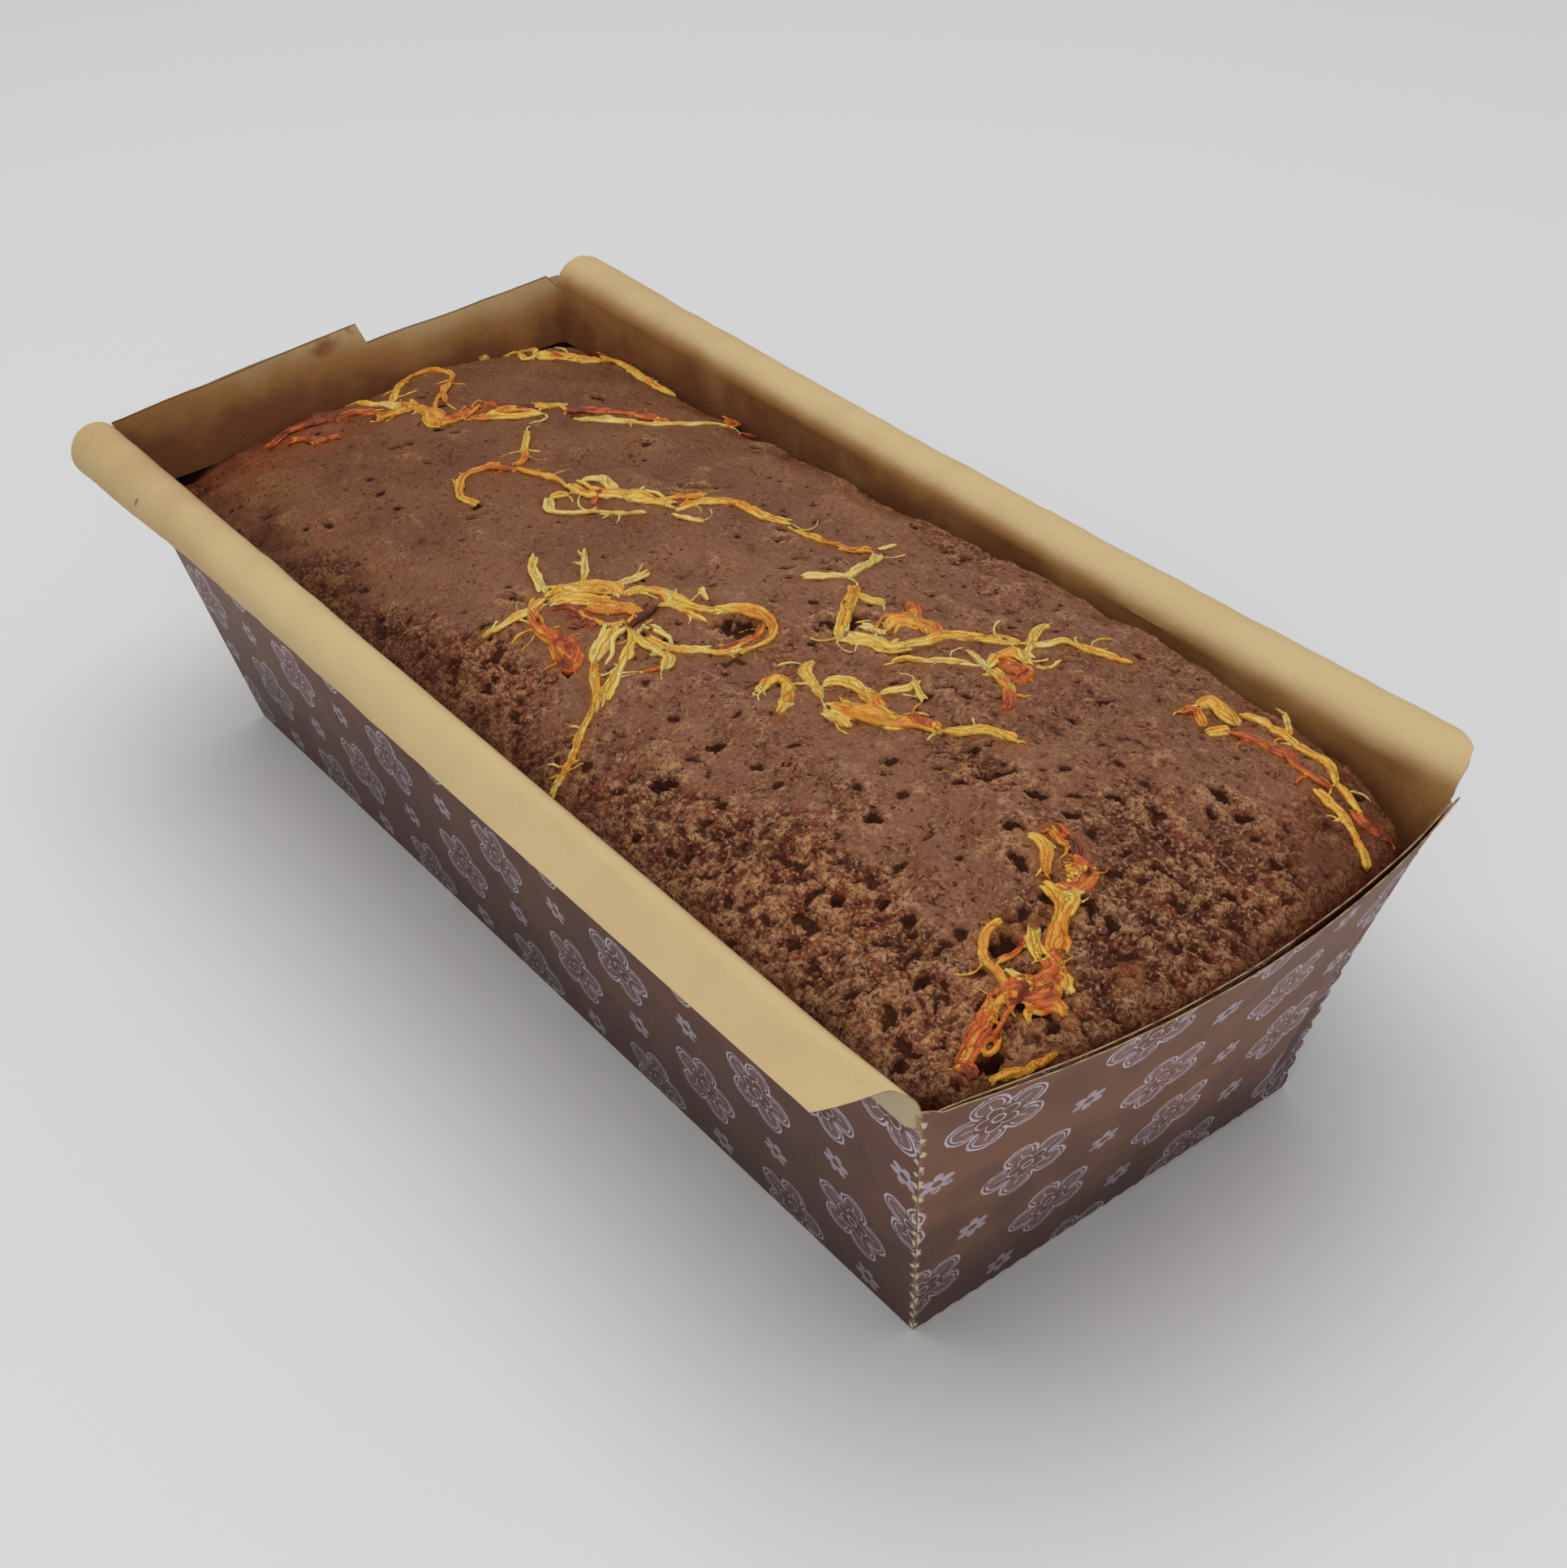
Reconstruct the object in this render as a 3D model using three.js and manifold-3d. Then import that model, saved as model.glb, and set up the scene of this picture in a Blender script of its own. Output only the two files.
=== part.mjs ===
// Loaf cake in its printed paper case.
// Millimetres, +Z up, the underside of the case lies on z = 0 and the origin is at its centre.
// The cake runs along X. The bowed end panel is at +X and the rim with the mitred end is on -Y.
import * as THREE from "three";
import { mergeVertices } from "three/addons/utils/BufferGeometryUtils.js";
import Module from "manifold-3d";

const wasm = await Module();
wasm.setup();

// Paper case
const BASE_LENGTH = 201.6;
const BASE_WIDTH = 76.6;
const TOP_LENGTH = 232.6;
const TOP_WIDTH = 99.6;
const FOLD_HEIGHT = 62;
const PAPER = 0.8;
const END_BOW = 7.2;
const CORNER_PULL = 1.6;
const BOW_STEPS = 14;
const WALL_LEVELS = [0, 20, 36, 50, 62, 72];

// Rims rolled outward along the two long sides
const LEFT_ROLL_RADIUS = 4.5;
const RIGHT_ROLL_RADIUS = 5.3;
const ROLL_AXIS_Z = 60.2;
const ROLL_START = 177.5;
const ROLL_END = -25;
const ROLL_STEPS = 16;
const RIM_X = 115.5;

// Glued outer flaps of the two ends
const FLAP_GAP = 0.3;
const FLAP_STANDS_OFF = 0.8;
const FLAP_FOOT = 0.5;
const SIDE_TOOTH = 3.6;
const SIDE_TOOTH_DEPTH = 1.0;
const FOOT_TOOTH = 3.2;
const FOOT_TOOTH_DEPTH = 1.0;
const PAST_CORNER = -1.4;

// Cake
const CAKE_GAP = 0.3;
const CRUST_STEP = 3.7;
const CREST = [[-114, 53], [-106, 56], [-88, 58.5], [-60, 60.5], [-20, 63.2], [25, 66], [60, 67.2], [88, 66.6],
  [104, 64.2], [114, 61.5], [123, 58.5]];
const EDGE_RIGHT = [[-113, 47.5], [-104, 50.5], [-90, 52.5], [-54, 53.8], [-39, 55], [-15, 57], [34, 59.2],
  [70, 60], [90, 59.8], [100, 58.6], [108, 55.2], [116, 53]];
const EDGE_LEFT = [[-113, 45], [-98, 49], [-60, 52], [0, 54], [60, 56], [104, 57], [116, 56]];
const EDGE_HALF_WIDTH = 48.2;
const EDGE_POWER = 3.2;
const RELIEF = 0.9;
const ROUGH_RELIEF = 1.5;
// Open holes in the crust: x, y, radius, depth
const HOLES = [[-22, -20, 3.2, 1.8], [24, -6, 3.4, 1.8], [37, -34, 2.8, 1.6], [98, -22, 4.0, 2.4],
  [-2, 18, 2.6, 1.2], [93, 18, 3.4, 1.4], [69, -5, 3.0, 1.4], [84, -36, 3.6, 1.6], [108, -8, 3.6, 1.4]];

// Shreds on the crust: points in plan as x, y, then width and how far the shred stands proud.
const SHREDS = [
  // far end
  { path: [[-109, 33], [-98, 39], [-88, 43], [-80, 46]], width: 2.6, proud: 0.9 },
  { path: [[-104, 32], [-94, 38], [-84, 41]], width: 1.6, proud: 0.8 },
  { path: [[-88, 44], [-78, 46], [-71, 47]], width: 1.6, proud: 0.7 },
  // long streak across the far part
  { path: [[-105, -25], [-107, -14], [-105, -4], [-98, 2]], width: 2.2, proud: 0.8 },
  { path: [[-103, -8], [-96, 1], [-88, 4], [-84, 12]], width: 2.6, proud: 1.1 },
  { path: [[-86, 8], [-77, 17], [-71, 23], [-62, 28]], width: 2.4, proud: 1.0 },
  { path: [[-69, 23], [-62, 28], [-56, 36], [-52, 45]], width: 1.8, proud: 0.8 },
  { path: [[-102, 3], [-112, 10], [-106, 16], [-94, 9]], width: 1.4, proud: 0.9 },
  { path: [[-92, -4], [-86, 6], [-80, 10]], width: 1.6, proud: 0.9 },
  // middle, far side
  { path: [[-53, -12], [-58, -8], [-57, -3], [-54, 1], [-48, 1]], width: 1.5, proud: 0.8 },
  { path: [[-66, 10], [-57, 4], [-53, 1]], width: 1.3, proud: 0.7 },
  { path: [[-44, 0], [-35, 9], [-25, 14], [-15, 19]], width: 3.2, proud: 1.2 },
  { path: [[-40, -4], [-28, 2], [-15, 12]], width: 1.8, proud: 0.9 },
  { path: [[-18, 18], [-5, 22], [4, 23], [15, 28]], width: 1.9, proud: 0.9 },
  { path: [[15, 27], [18, 21], [14, 12]], width: 1.3, proud: 0.7 },
  // middle, loop and rays
  { path: [[-14, -32], [-11, -23], [-8, -16]], width: 1.5, proud: 0.8 },
  { path: [[-22, -15], [-16, -19], [-8, -18], [0, -15]], width: 2.0, proud: 1.1 },
  { path: [[-19, -8], [-13, -12], [-8, -17]], width: 1.3, proud: 0.8 },
  { path: [[-3, -5], [-3, -13], [-8, -18]], width: 1.4, proud: 0.8 },
  { path: [[-12, -22], [-3, -16], [5, -12], [11, -9]], width: 2.8, proud: 1.3 },
  { path: [[9, -10], [13, -4], [20, -1], [26, -3], [27, -8], [22, -14], [16, -17], [9, -18]], width: 2.0, proud: 1.1 },
  { path: [[-6, -18], [2, -20], [9, -19]], width: 2.4, proud: 1.1 },
  { path: [[6, -20], [12, -27], [19, -32], [25, -39], [28, -43]], width: 1.6, proud: 0.9 },
  { path: [[0, -18], [1, -25], [7, -29]], width: 2.2, proud: 1.0 },
  // middle, near side
  { path: [[22, 15], [30, 8], [37, 5], [40, 9], [44, 16]], width: 2.6, proud: 1.2 },
  { path: [[42, 13], [49, 21], [56, 27], [65, 34]], width: 1.7, proud: 0.9 },
  { path: [[49, 32], [55, 25], [59, 17], [63, 12]], width: 2.2, proud: 1.1 },
  { path: [[34, 17], [39, 14], [44, 13]], width: 2.0, proud: 1.0 },
  { path: [[37, -14], [39, -11], [43, -14]], width: 2.2, proud: 1.0 },
  { path: [[36, -3], [43, -7], [50, -7], [57, -5]], width: 3.2, proud: 1.2 },
  { path: [[53, -6], [60, -3], [67, 1], [73, 6]], width: 2.0, proud: 0.9 },
  { path: [[45, -4], [50, 0], [54, 4]], width: 1.8, proud: 0.9 },
  // near end, right
  { path: [[79, 31], [86, 33], [95, 35], [104, 36], [113, 35]], width: 2.2, proud: 1.0 },
  { path: [[84, 41], [93, 41], [104, 38], [114, 31]], width: 1.5, proud: 0.8 },
  // near end, left
  { path: [[90, -2], [95, -5], [98, -8], [99, -13]], width: 2.6, proud: 1.1 },
  { path: [[98, -12], [103, -17], [108, -21], [111, -26]], width: 2.8, proud: 1.1 },
  { path: [[96, -18], [99, -25], [104, -28], [109, -25]], width: 1.8, proud: 0.9 },
  { path: [[110, -25], [110, -33], [112, -40]], width: 2.2, proud: 0.9 },
  { path: [[114, -37], [117, -31], [119, -26]], width: 2.0, proud: 0.8 },
];
const SHRED_STEP = 4;
const SHRED_SIDES = 5;

const kraft = new THREE.MeshStandardMaterial({ color: 0x8a6b55, roughness: 0.8, metalness: 0 });
const printed = new THREE.MeshStandardMaterial({ color: 0x6e5346, roughness: 0.7, metalness: 0 });
const crumb = new THREE.MeshStandardMaterial({ color: 0x6b4636, roughness: 0.85, metalness: 0 });

// Linear interpolation through x, z pairs.
function along(pairs, x) {
  if (x <= pairs[0][0]) return pairs[0][1];
  for (let i = 1; i < pairs.length; i++) {
    const [x0, z0] = pairs[i - 1];
    const [x1, z1] = pairs[i];
    if (x <= x1) return z0 + ((z1 - z0) * (x - x0)) / (x1 - x0);
  }
  return pairs[pairs.length - 1][1];
}

// Smooth lattice noise between -1 and 1, the same on every run.
function lattice(i, j) {
  const s = Math.sin(i * 127.1 + j * 311.7) * 43758.5453;
  return 2 * (s - Math.floor(s)) - 1;
}

function noise(x, y) {
  const i = Math.floor(x);
  const j = Math.floor(y);
  const fx = THREE.MathUtils.smoothstep(x - i, 0, 1);
  const fy = THREE.MathUtils.smoothstep(y - j, 0, 1);
  const low = THREE.MathUtils.lerp(lattice(i, j), lattice(i + 1, j), fx);
  const high = THREE.MathUtils.lerp(lattice(i, j + 1), lattice(i + 1, j + 1), fx);
  return THREE.MathUtils.lerp(low, high, fy);
}

// Closed solid through equal rings of points, each ring convex and counter-clockwise seen from its end.
function ringSolid(rings) {
  const count = rings[0].length;
  const points = rings.flat();
  const faces = [];
  for (let r = 0; r + 1 < rings.length; r++) {
    for (let k = 0; k < count; k++) {
      const a = r * count + k;
      const b = r * count + ((k + 1) % count);
      faces.push([a, b, b + count]);
      faces.push([a, b + count, a + count]);
    }
  }
  const last = (rings.length - 1) * count;
  for (let k = 1; k + 1 < count; k++) {
    faces.push([0, k + 1, k]);
    faces.push([last, last + k, last + k + 1]);
  }
  return solid(points, faces);
}

// Closed sheet between a grid of front points and the matching grid of back points.
function sheetSolid(front, back) {
  const rows = front.length;
  const columns = front[0].length;
  const half = rows * columns;
  const points = [...front.flat(), ...back.flat()];
  const at = (i, j) => i * columns + j;
  const faces = [];
  for (let i = 0; i + 1 < rows; i++) {
    for (let j = 0; j + 1 < columns; j++) {
      const [a, b, c, d] = [at(i, j), at(i, j + 1), at(i + 1, j + 1), at(i + 1, j)];
      faces.push([a, b, c], [a, c, d]);
      faces.push([a + half, c + half, b + half], [a + half, d + half, c + half]);
    }
  }
  const edge = [];
  for (let j = 0; j + 1 < columns; j++) edge.push(at(0, j));
  for (let i = 0; i + 1 < rows; i++) edge.push(at(i, columns - 1));
  for (let j = columns - 1; j > 0; j--) edge.push(at(rows - 1, j));
  for (let i = rows - 1; i > 0; i--) edge.push(at(i, 0));
  edge.forEach((a, k) => {
    const b = edge[(k + 1) % edge.length];
    faces.push([a, a + half, b + half], [a, b + half, b]);
  });
  return solid(points, faces);
}

// Points and faces to a solid, turned the right way out.
function solid(points, faces) {
  const mesh = new wasm.Mesh({
    numProp: 3,
    vertProperties: new Float32Array(points.flat()),
    triVerts: new Uint32Array(faces.flat()),
  });
  const made = new wasm.Manifold(mesh);
  if (made.volume() > 0) return made;
  const turned = faces.map(([a, b, c]) => [a, c, b]);
  return new wasm.Manifold(new wasm.Mesh({
    numProp: 3,
    vertProperties: new Float32Array(points.flat()),
    triVerts: new Uint32Array(turned.flat()),
  }));
}

// Prism along X of an outline in the YZ plane.
function prismAlongX(outline, from, to) {
  const shape = new THREE.Shape(outline.map(([y, z]) => new THREE.Vector2(y, z)));
  const geometry = new THREE.ExtrudeGeometry(shape, { depth: to - from, bevelEnabled: false });
  const axes = new THREE.Matrix4().makeBasis(
    new THREE.Vector3(0, 1, 0),
    new THREE.Vector3(0, 0, 1),
    new THREE.Vector3(1, 0, 0),
  );
  geometry.applyMatrix4(axes);
  geometry.translate(from, 0, 0);
  return fromGeometry(geometry);
}

function fromGeometry(geometry) {
  const bare = geometry.clone();
  bare.deleteAttribute("normal");
  bare.deleteAttribute("uv");
  const merged = mergeVertices(bare, 1e-4);
  return new wasm.Manifold(new wasm.Mesh({
    numProp: 3,
    vertProperties: new Float32Array(merged.attributes.position.array),
    triVerts: new Uint32Array(merged.index.array),
  }));
}

// The largest body of a solid, without scraps and without sealed hollows.
function mainBody(made) {
  const bodies = made.decompose();
  return bodies.reduce((best, body) => (body.volume() > best.volume() ? body : best));
}

function toMesh(made, name, material) {
  const mesh = made.getMesh();
  const geometry = new THREE.BufferGeometry();
  geometry.setAttribute("position", new THREE.BufferAttribute(new Float32Array(mesh.vertProperties), 3));
  geometry.setIndex(new THREE.BufferAttribute(new Uint32Array(mesh.triVerts), 1));
  geometry.computeVertexNormals();
  const out = new THREE.Mesh(geometry, material);
  out.name = name;
  return out;
}

// Outside of the case at a height: half length, half width and bow of the near end.
function outside(z) {
  const t = z / FOLD_HEIGHT;
  return {
    length: BASE_LENGTH / 2 + ((TOP_LENGTH - BASE_LENGTH) / 2) * t,
    width: BASE_WIDTH / 2 + ((TOP_WIDTH - BASE_WIDTH) / 2) * t,
    bow: END_BOW * Math.max(t, 0) ** 1.5,
  };
}

function nearEndX(y, z) {
  const o = outside(z);
  return o.length + o.bow * (1 - Math.min(1, Math.abs(y) / o.width) ** 2);
}

// The corner of the bowed end and the +Y wall is drawn in between its foot and its top.
function caseRing(z, inset) {
  const o = outside(z);
  const length = o.length - inset;
  const width = o.width - inset;
  const pull = CORNER_PULL * Math.sin(Math.PI * Math.min(1, z / FOLD_HEIGHT)) ** 0.6;
  const ring = [[-length, -width, z]];
  for (let k = 0; k < BOW_STEPS; k++) {
    const t = (2 * k) / BOW_STEPS - 1;
    ring.push([length + o.bow * (1 - t * t), t * width, z]);
  }
  ring.push([length - pull, width - pull, z]);
  ring.push([-length, width, z]);
  return ring;
}

function caseSolid(floor, inset, top) {
  const levels = WALL_LEVELS.filter((z) => z > floor && z < top);
  return ringSolid([floor, ...levels, top].map((z) => caseRing(z, inset)));
}

// The near end of the left rim is mitred all round, that of the right rim past its crest only.
function rolledRim(side) {
  const startWidth = outside(ROLL_AXIS_Z).width - PAPER;
  const outer = side < 0 ? LEFT_ROLL_RADIUS : RIGHT_ROLL_RADIUS;
  const axisY = startWidth + outer * 0.983;
  const front = [];
  const back = [];
  for (let k = 0; k <= ROLL_STEPS; k++) {
    const degrees = ROLL_START + ((ROLL_END - ROLL_START) * k) / ROLL_STEPS;
    const a = THREE.MathUtils.degToRad(degrees);
    const s = Math.max(0, outer * THREE.MathUtils.degToRad(169.5 - degrees));
    const near = RIM_X - (side < 0 ? 0.73 * s : 1.2 * Math.max(0, s - 6.2));
    const far = -RIM_X + 0.12 * s;
    const row = (radius) => [far, near].map((x) => [
      x,
      side * (axisY + radius * Math.cos(a)),
      ROLL_AXIS_Z + radius * Math.sin(a),
    ]);
    front.push(row(outer));
    back.push(row(outer - PAPER));
  }
  return sheetSolid(front, back);
}

function caseTray() {
  const wallTop = ROLL_AXIS_Z + 0.5;
  const walls = caseSolid(0, 0, 72).subtract(caseSolid(PAPER, PAPER, 73));
  const mid = prismAlongX([[-70, wallTop], [70, wallTop], [70, 90], [-70, 90]], -112, 112);
  const far = prismAlongX([
    [-70, wallTop], [-49.3, wallTop], [-48, 63.4], [2, 65.7], [3.2, 62.5], [47.6, 63.2], [49, wallTop],
    [70, wallTop], [70, 90], [-70, 90],
  ], -140, -111);
  const near = prismAlongX([
    [-70, wallTop], [-48.8, wallTop], [-44, 61.9], [48, 61.9], [49, wallTop], [70, wallTop],
    [70, 90], [-70, 90],
  ], 111, 140);
  const cut = walls.subtract(mid).subtract(far).subtract(near);
  return mainBody(cut.add(rolledRim(-1)).add(rolledRim(1)));
}

// Zigzag between two points, first and last point on the line itself.
function zigzag(y0, z0, y1, z1, pitch, dy, dz) {
  const count = Math.round(Math.hypot(y1 - y0, z1 - z0) / pitch);
  const line = [];
  for (let k = 0; k <= 2 * count; k++) {
    const t = k / (2 * count);
    const out = k % 2;
    line.push([y0 + (y1 - y0) * t + out * dy, z0 + (z1 - z0) * t + out * dz]);
  }
  return line;
}

// Outer flap of an end, glued on from the -Y side, its toothed edge just short of the +Y corner.
function endFlap(bowed, topEdge) {
  const rows = [];
  const behind = [];
  const columns = BOW_STEPS;
  for (const z of [FLAP_FOOT, 20, 36, 50, FOLD_HEIGHT + 5]) {
    const front = [];
    const back = [];
    for (let k = 0; k <= columns; k++) {
      const o = outside(z);
      const y = -o.width + ((2 * o.width + PAST_CORNER) * k) / columns;
      const x = bowed ? nearEndX(y, z) : o.length;
      const off = FLAP_GAP + FLAP_STANDS_OFF * (k / columns) ** 2 * (z / FOLD_HEIGHT) ** 2;
      back.push([x + off * 1.05, y, z]);
      front.push([x + (off + PAPER) * 1.05, y, z]);
    }
    rows.push(front);
    behind.push(back);
  }
  const foot = outside(0).width;
  const head = outside(FOLD_HEIGHT).width;
  const side = zigzag(
    foot + PAST_CORNER, 0, head + PAST_CORNER, FOLD_HEIGHT, SIDE_TOOTH, -SIDE_TOOTH_DEPTH, 0,
  );
  const past = prismAlongX([...side, [90, FOLD_HEIGHT + 12], [90, 0]], 60, 150);
  const under = zigzag(
    -foot - 2, FLAP_FOOT, foot + 4, FLAP_FOOT, FOOT_TOOTH, 0, FOOT_TOOTH_DEPTH,
  );
  const below = prismAlongX([...under, [foot + 4, -10], [-foot - 2, -10]], 60, 150);
  const above = prismAlongX([...topEdge, [70, 90], [-70, 90]], 60, 150);
  return mainBody(sheetSolid(rows, behind).subtract(past).subtract(below).subtract(above));
}

// Height of the crust without shreds.
function crust(x, y) {
  const edge = along(y > 0 ? EDGE_RIGHT : EDGE_LEFT, x);
  const v = Math.min(Math.abs(y) / EDGE_HALF_WIDTH, 1);
  const crest = along(CREST, x);
  const dome = edge + (crest - edge) * (1 - v ** EDGE_POWER);
  const swell = 0.9 * noise(x / 31 + 4.2, y / 24 + 1.7);
  const leftBand = THREE.MathUtils.smoothstep(-y, 26, 42);
  const nearBand = THREE.MathUtils.smoothstep(x, 70, 110) * THREE.MathUtils.smoothstep(-y, -20, 20);
  const rough = Math.max(leftBand, nearBand);
  const crags = RELIEF * noise(x / 7.3, y / 6.1) + ROUGH_RELIEF * rough * noise(x / 6.1 + 9, y / 5.3);
  const holes = HOLES.reduce((sum, [hx, hy, radius, depth]) => {
    const away = Math.hypot(x - hx, y - hy) / radius;
    return sum + depth * Math.exp(-away * away);
  }, 0);
  return dome + swell + crags - holes;
}

function crustBlock() {
  const columns = Math.round(246 / CRUST_STEP);
  const rows = Math.round(102 / CRUST_STEP);
  const top = [];
  const bottom = [];
  for (let i = 0; i <= columns; i++) {
    const x = -120 + (246 * i) / columns;
    top.push([]);
    bottom.push([]);
    for (let j = 0; j <= rows; j++) {
      const y = -51 + (102 * j) / rows;
      top[i].push([x, y, crust(x, y)]);
      bottom[i].push([x, y, -4]);
    }
  }
  return sheetSolid(top, bottom);
}

// One shred as a flattened strip that follows the crust and tapers to both ends.
function shred({ path, width, proud }) {
  const curve = new THREE.CatmullRomCurve3(path.map(([x, y]) => new THREE.Vector3(x, y, 0)), false, "centripetal");
  const count = Math.max(3, Math.round(curve.getLength() / SHRED_STEP));
  const rings = [];
  for (let k = 0; k <= count; k++) {
    const t = k / count;
    const p = curve.getPointAt(t);
    const way = curve.getTangentAt(t);
    const taper = 0.45 + 0.55 * Math.sin(Math.PI * THREE.MathUtils.clamp(t, 0.06, 0.94)) ** 0.5;
    const z = crust(p.x, p.y) + proud * 0.3;
    const ring = [];
    for (let s = 0; s < SHRED_SIDES; s++) {
      const a = (2 * Math.PI * (s + 0.25)) / SHRED_SIDES;
      const across = (width / 2) * taper * Math.cos(a);
      const up = proud * taper * Math.sin(a);
      ring.push([p.x - way.y * across, p.y + way.x * across, z + up]);
    }
    rings.push(ring);
  }
  return ringSolid(rings);
}

function cake() {
  const inset = PAPER + CAKE_GAP;
  const room = caseSolid(inset, inset, 80);
  const dough = crustBlock().intersect(room);
  const strips = SHREDS.map(shred);
  return mainBody(wasm.Manifold.union([dough, ...strips]).intersect(room));
}

const group = new THREE.Group();
group.name = "loaf_cake_in_case";
const flat = [[-70, FOLD_HEIGHT], [70, FOLD_HEIGHT]];
const stepped = [[-70, 62.6], [-3.2, 61.9], [-2, 65.1], [49, 62.8], [70, 62.8]];
group.add(toMesh(cake(), "cake", crumb));
group.add(toMesh(caseTray(), "case_tray", kraft));
group.add(toMesh(endFlap(true, flat), "end_flap_near", printed));
group.add(toMesh(endFlap(false, stepped).rotate([0, 0, 180]), "end_flap_far", printed));
export default group;
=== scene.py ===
"""Looks of the loaf cake in its printed paper case, laid out as a Blender add-on.

Sizes in the constants are millimetres; the scene is in metres. The origin is the centre of the
underside, the cake runs along X and the bowed end panel is at +X.
"""
import math

import bpy
import numpy as np
from mathutils import Matrix, Vector
from mathutils.kdtree import KDTree


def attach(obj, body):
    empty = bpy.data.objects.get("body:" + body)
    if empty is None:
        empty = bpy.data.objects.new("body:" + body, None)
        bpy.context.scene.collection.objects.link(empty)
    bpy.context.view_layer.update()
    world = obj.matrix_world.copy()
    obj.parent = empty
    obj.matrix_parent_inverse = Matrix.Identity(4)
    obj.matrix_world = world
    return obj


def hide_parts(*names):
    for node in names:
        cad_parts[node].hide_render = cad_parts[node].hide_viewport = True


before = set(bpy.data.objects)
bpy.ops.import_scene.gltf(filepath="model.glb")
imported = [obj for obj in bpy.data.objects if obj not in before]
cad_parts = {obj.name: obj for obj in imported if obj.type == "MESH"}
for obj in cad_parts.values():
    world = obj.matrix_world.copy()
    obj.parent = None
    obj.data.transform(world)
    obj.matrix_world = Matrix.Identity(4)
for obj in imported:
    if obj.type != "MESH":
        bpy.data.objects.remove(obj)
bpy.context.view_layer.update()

bl_info = {
    "name": "Loaf cake in a paper case",
    "version": (1, 0, 0),
    "blender": (4, 5, 0),
    "location": "View3D > Sidebar > Loaf cake",
    "description": "Builds the crust, its baked-on shreds, the printed paper case and the stage",
    "category": "Object",
}

MM = 0.001

# Paper case
BASE_LENGTH = 201.6
BASE_WIDTH = 76.6
TOP_LENGTH = 232.6
TOP_WIDTH = 99.6
FOLD_HEIGHT = 62.0
PAPER = 0.8
SHEET = 0.2
CORNER_PULL = 2.1
END_BOW = 7.2

# Straight box that the case is shaped from: its grid, the share of a half side past which a
# place is on a wall, and the half sizes that its shares are drawn for
CASE_COLUMNS = 84
CASE_ROWS = 32
WALL_ROWS = 22
ON_WALL = 0.9999
BOX_HALF_LENGTH = 115
BOX_HALF_WIDTH = 48.0

# Top edges of the two inner ends along Y; the far one steps down between the two places
STEP = (2.9, 4.2)
STEP_MIDDLE = 4.5
STEP_REACH = 1.6
NEAR_EDGE = ((-48, 60.6), (-44, 61.9), (47, 61.9), (48, 60.6))
FAR_EDGE = ((-48, 63.2), (STEP[0], 66.2), (STEP[1], 62.2), (47.2, 63.2), (48, 60.6))

# Rims rolled outward along the two long sides, angles in degrees
LEFT_ROLL_RADIUS = 4.5
RIGHT_ROLL_RADIUS = 5.1
ROLL_AXIS_Z = 60.2
ROLL_START = 177.5
ROLL_END = -25.0
ROLL_STEPS = 26
RIM_X = 115.5

# The left rim's pressed part: share of the sheet in its flat brim, and the brim's outer edge
BRIM_SHARE = 0.62
BRIM_OUT = 57.2
BRIM_RISE = 58.3

# Top of the wall that it is pressed down from
PRESS_OUT = 48.67
PRESS_RISE = 63.16

# Glued outer flaps: how far the free edge stands past the corner, for the near one by height
FLAP_COLUMNS = 72
FLAP_ROWS = 120
FLAP_FOOT = 0.5
TOOTH_PITCH = 3.6
TOOTH_DEPTH = 1.3
NEAR_PAST_CORNER = ((0, 0.3), (0.4, 0.9), (0.8, 1.0), (0.96, -0.9), (1, -1.4))
FAR_PAST_CORNER = ((0, -1.9), (1, -1.9))
FOOT_TOOTH_PITCH = 3.2
FOOT_TOOTH_DEPTH = 1.0
NEAR_TOP = ((-50, 63.3), (-49, 63.2), (-46.8, 61.5), (-45.2, 62), (70, 62))
FAR_TOP = ((-70, 62.6), (-4.2, 61.6), (-2.9, 65.6), (49, 62.8), (70, 62.8))

# Print: how far it is shifted on the case and on the flaps, its turn there in degrees, and how
# far the painted shade at the foot reaches: from the first share of the height to the second, told from
# the top
CASE_PRINT_SHIFT = (-4.1, -3.9)
FLAP_PRINT_SHIFT = (7.5, 2.2)
FLAP_PRINT_TURN = 25.0
CASE_FOOT_SHADE = (0.1, 1.05)
FLAP_FOOT_SHADE = (0.36, 1.02)
FLAP_FOOT_SLANT = 0.003

# Angle in degrees up to which the paper's faces are shaded smooth
SMOOTH_ANGLE = 40

# Small brown stains on the paper: how far their outline is bent, then place and reach of each
STAIN_BEND = 3.0
STAINS = ((-116.0, -4.4, 63.9, 4.6), (-116.0, 1.6, 65.6, 1.8), (-87.0, -57.7, 61.8, 1.2))

# Crust: its grid, its rough half sizes, its corners' radii at the near and the far end, its gap
# to the long walls, and the heights of the rows of its hidden sides
CRUST_COLUMNS = 460
CRUST_ROWS = 194
CRUST_HALF_LENGTH = 114.0
CRUST_HALF_WIDTH = 47.0
CRUST_CORNERS = (5.0, 1.6)
SIDE_GAP = 0.15
SKIRT_LEVELS = (50.0, 40.0, 30.0, 20.0, 10.0, SHEET + 0.25)
CRUST_FIELDS = ("rough", "hollow", "warm", "wall", "far", "under")

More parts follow.
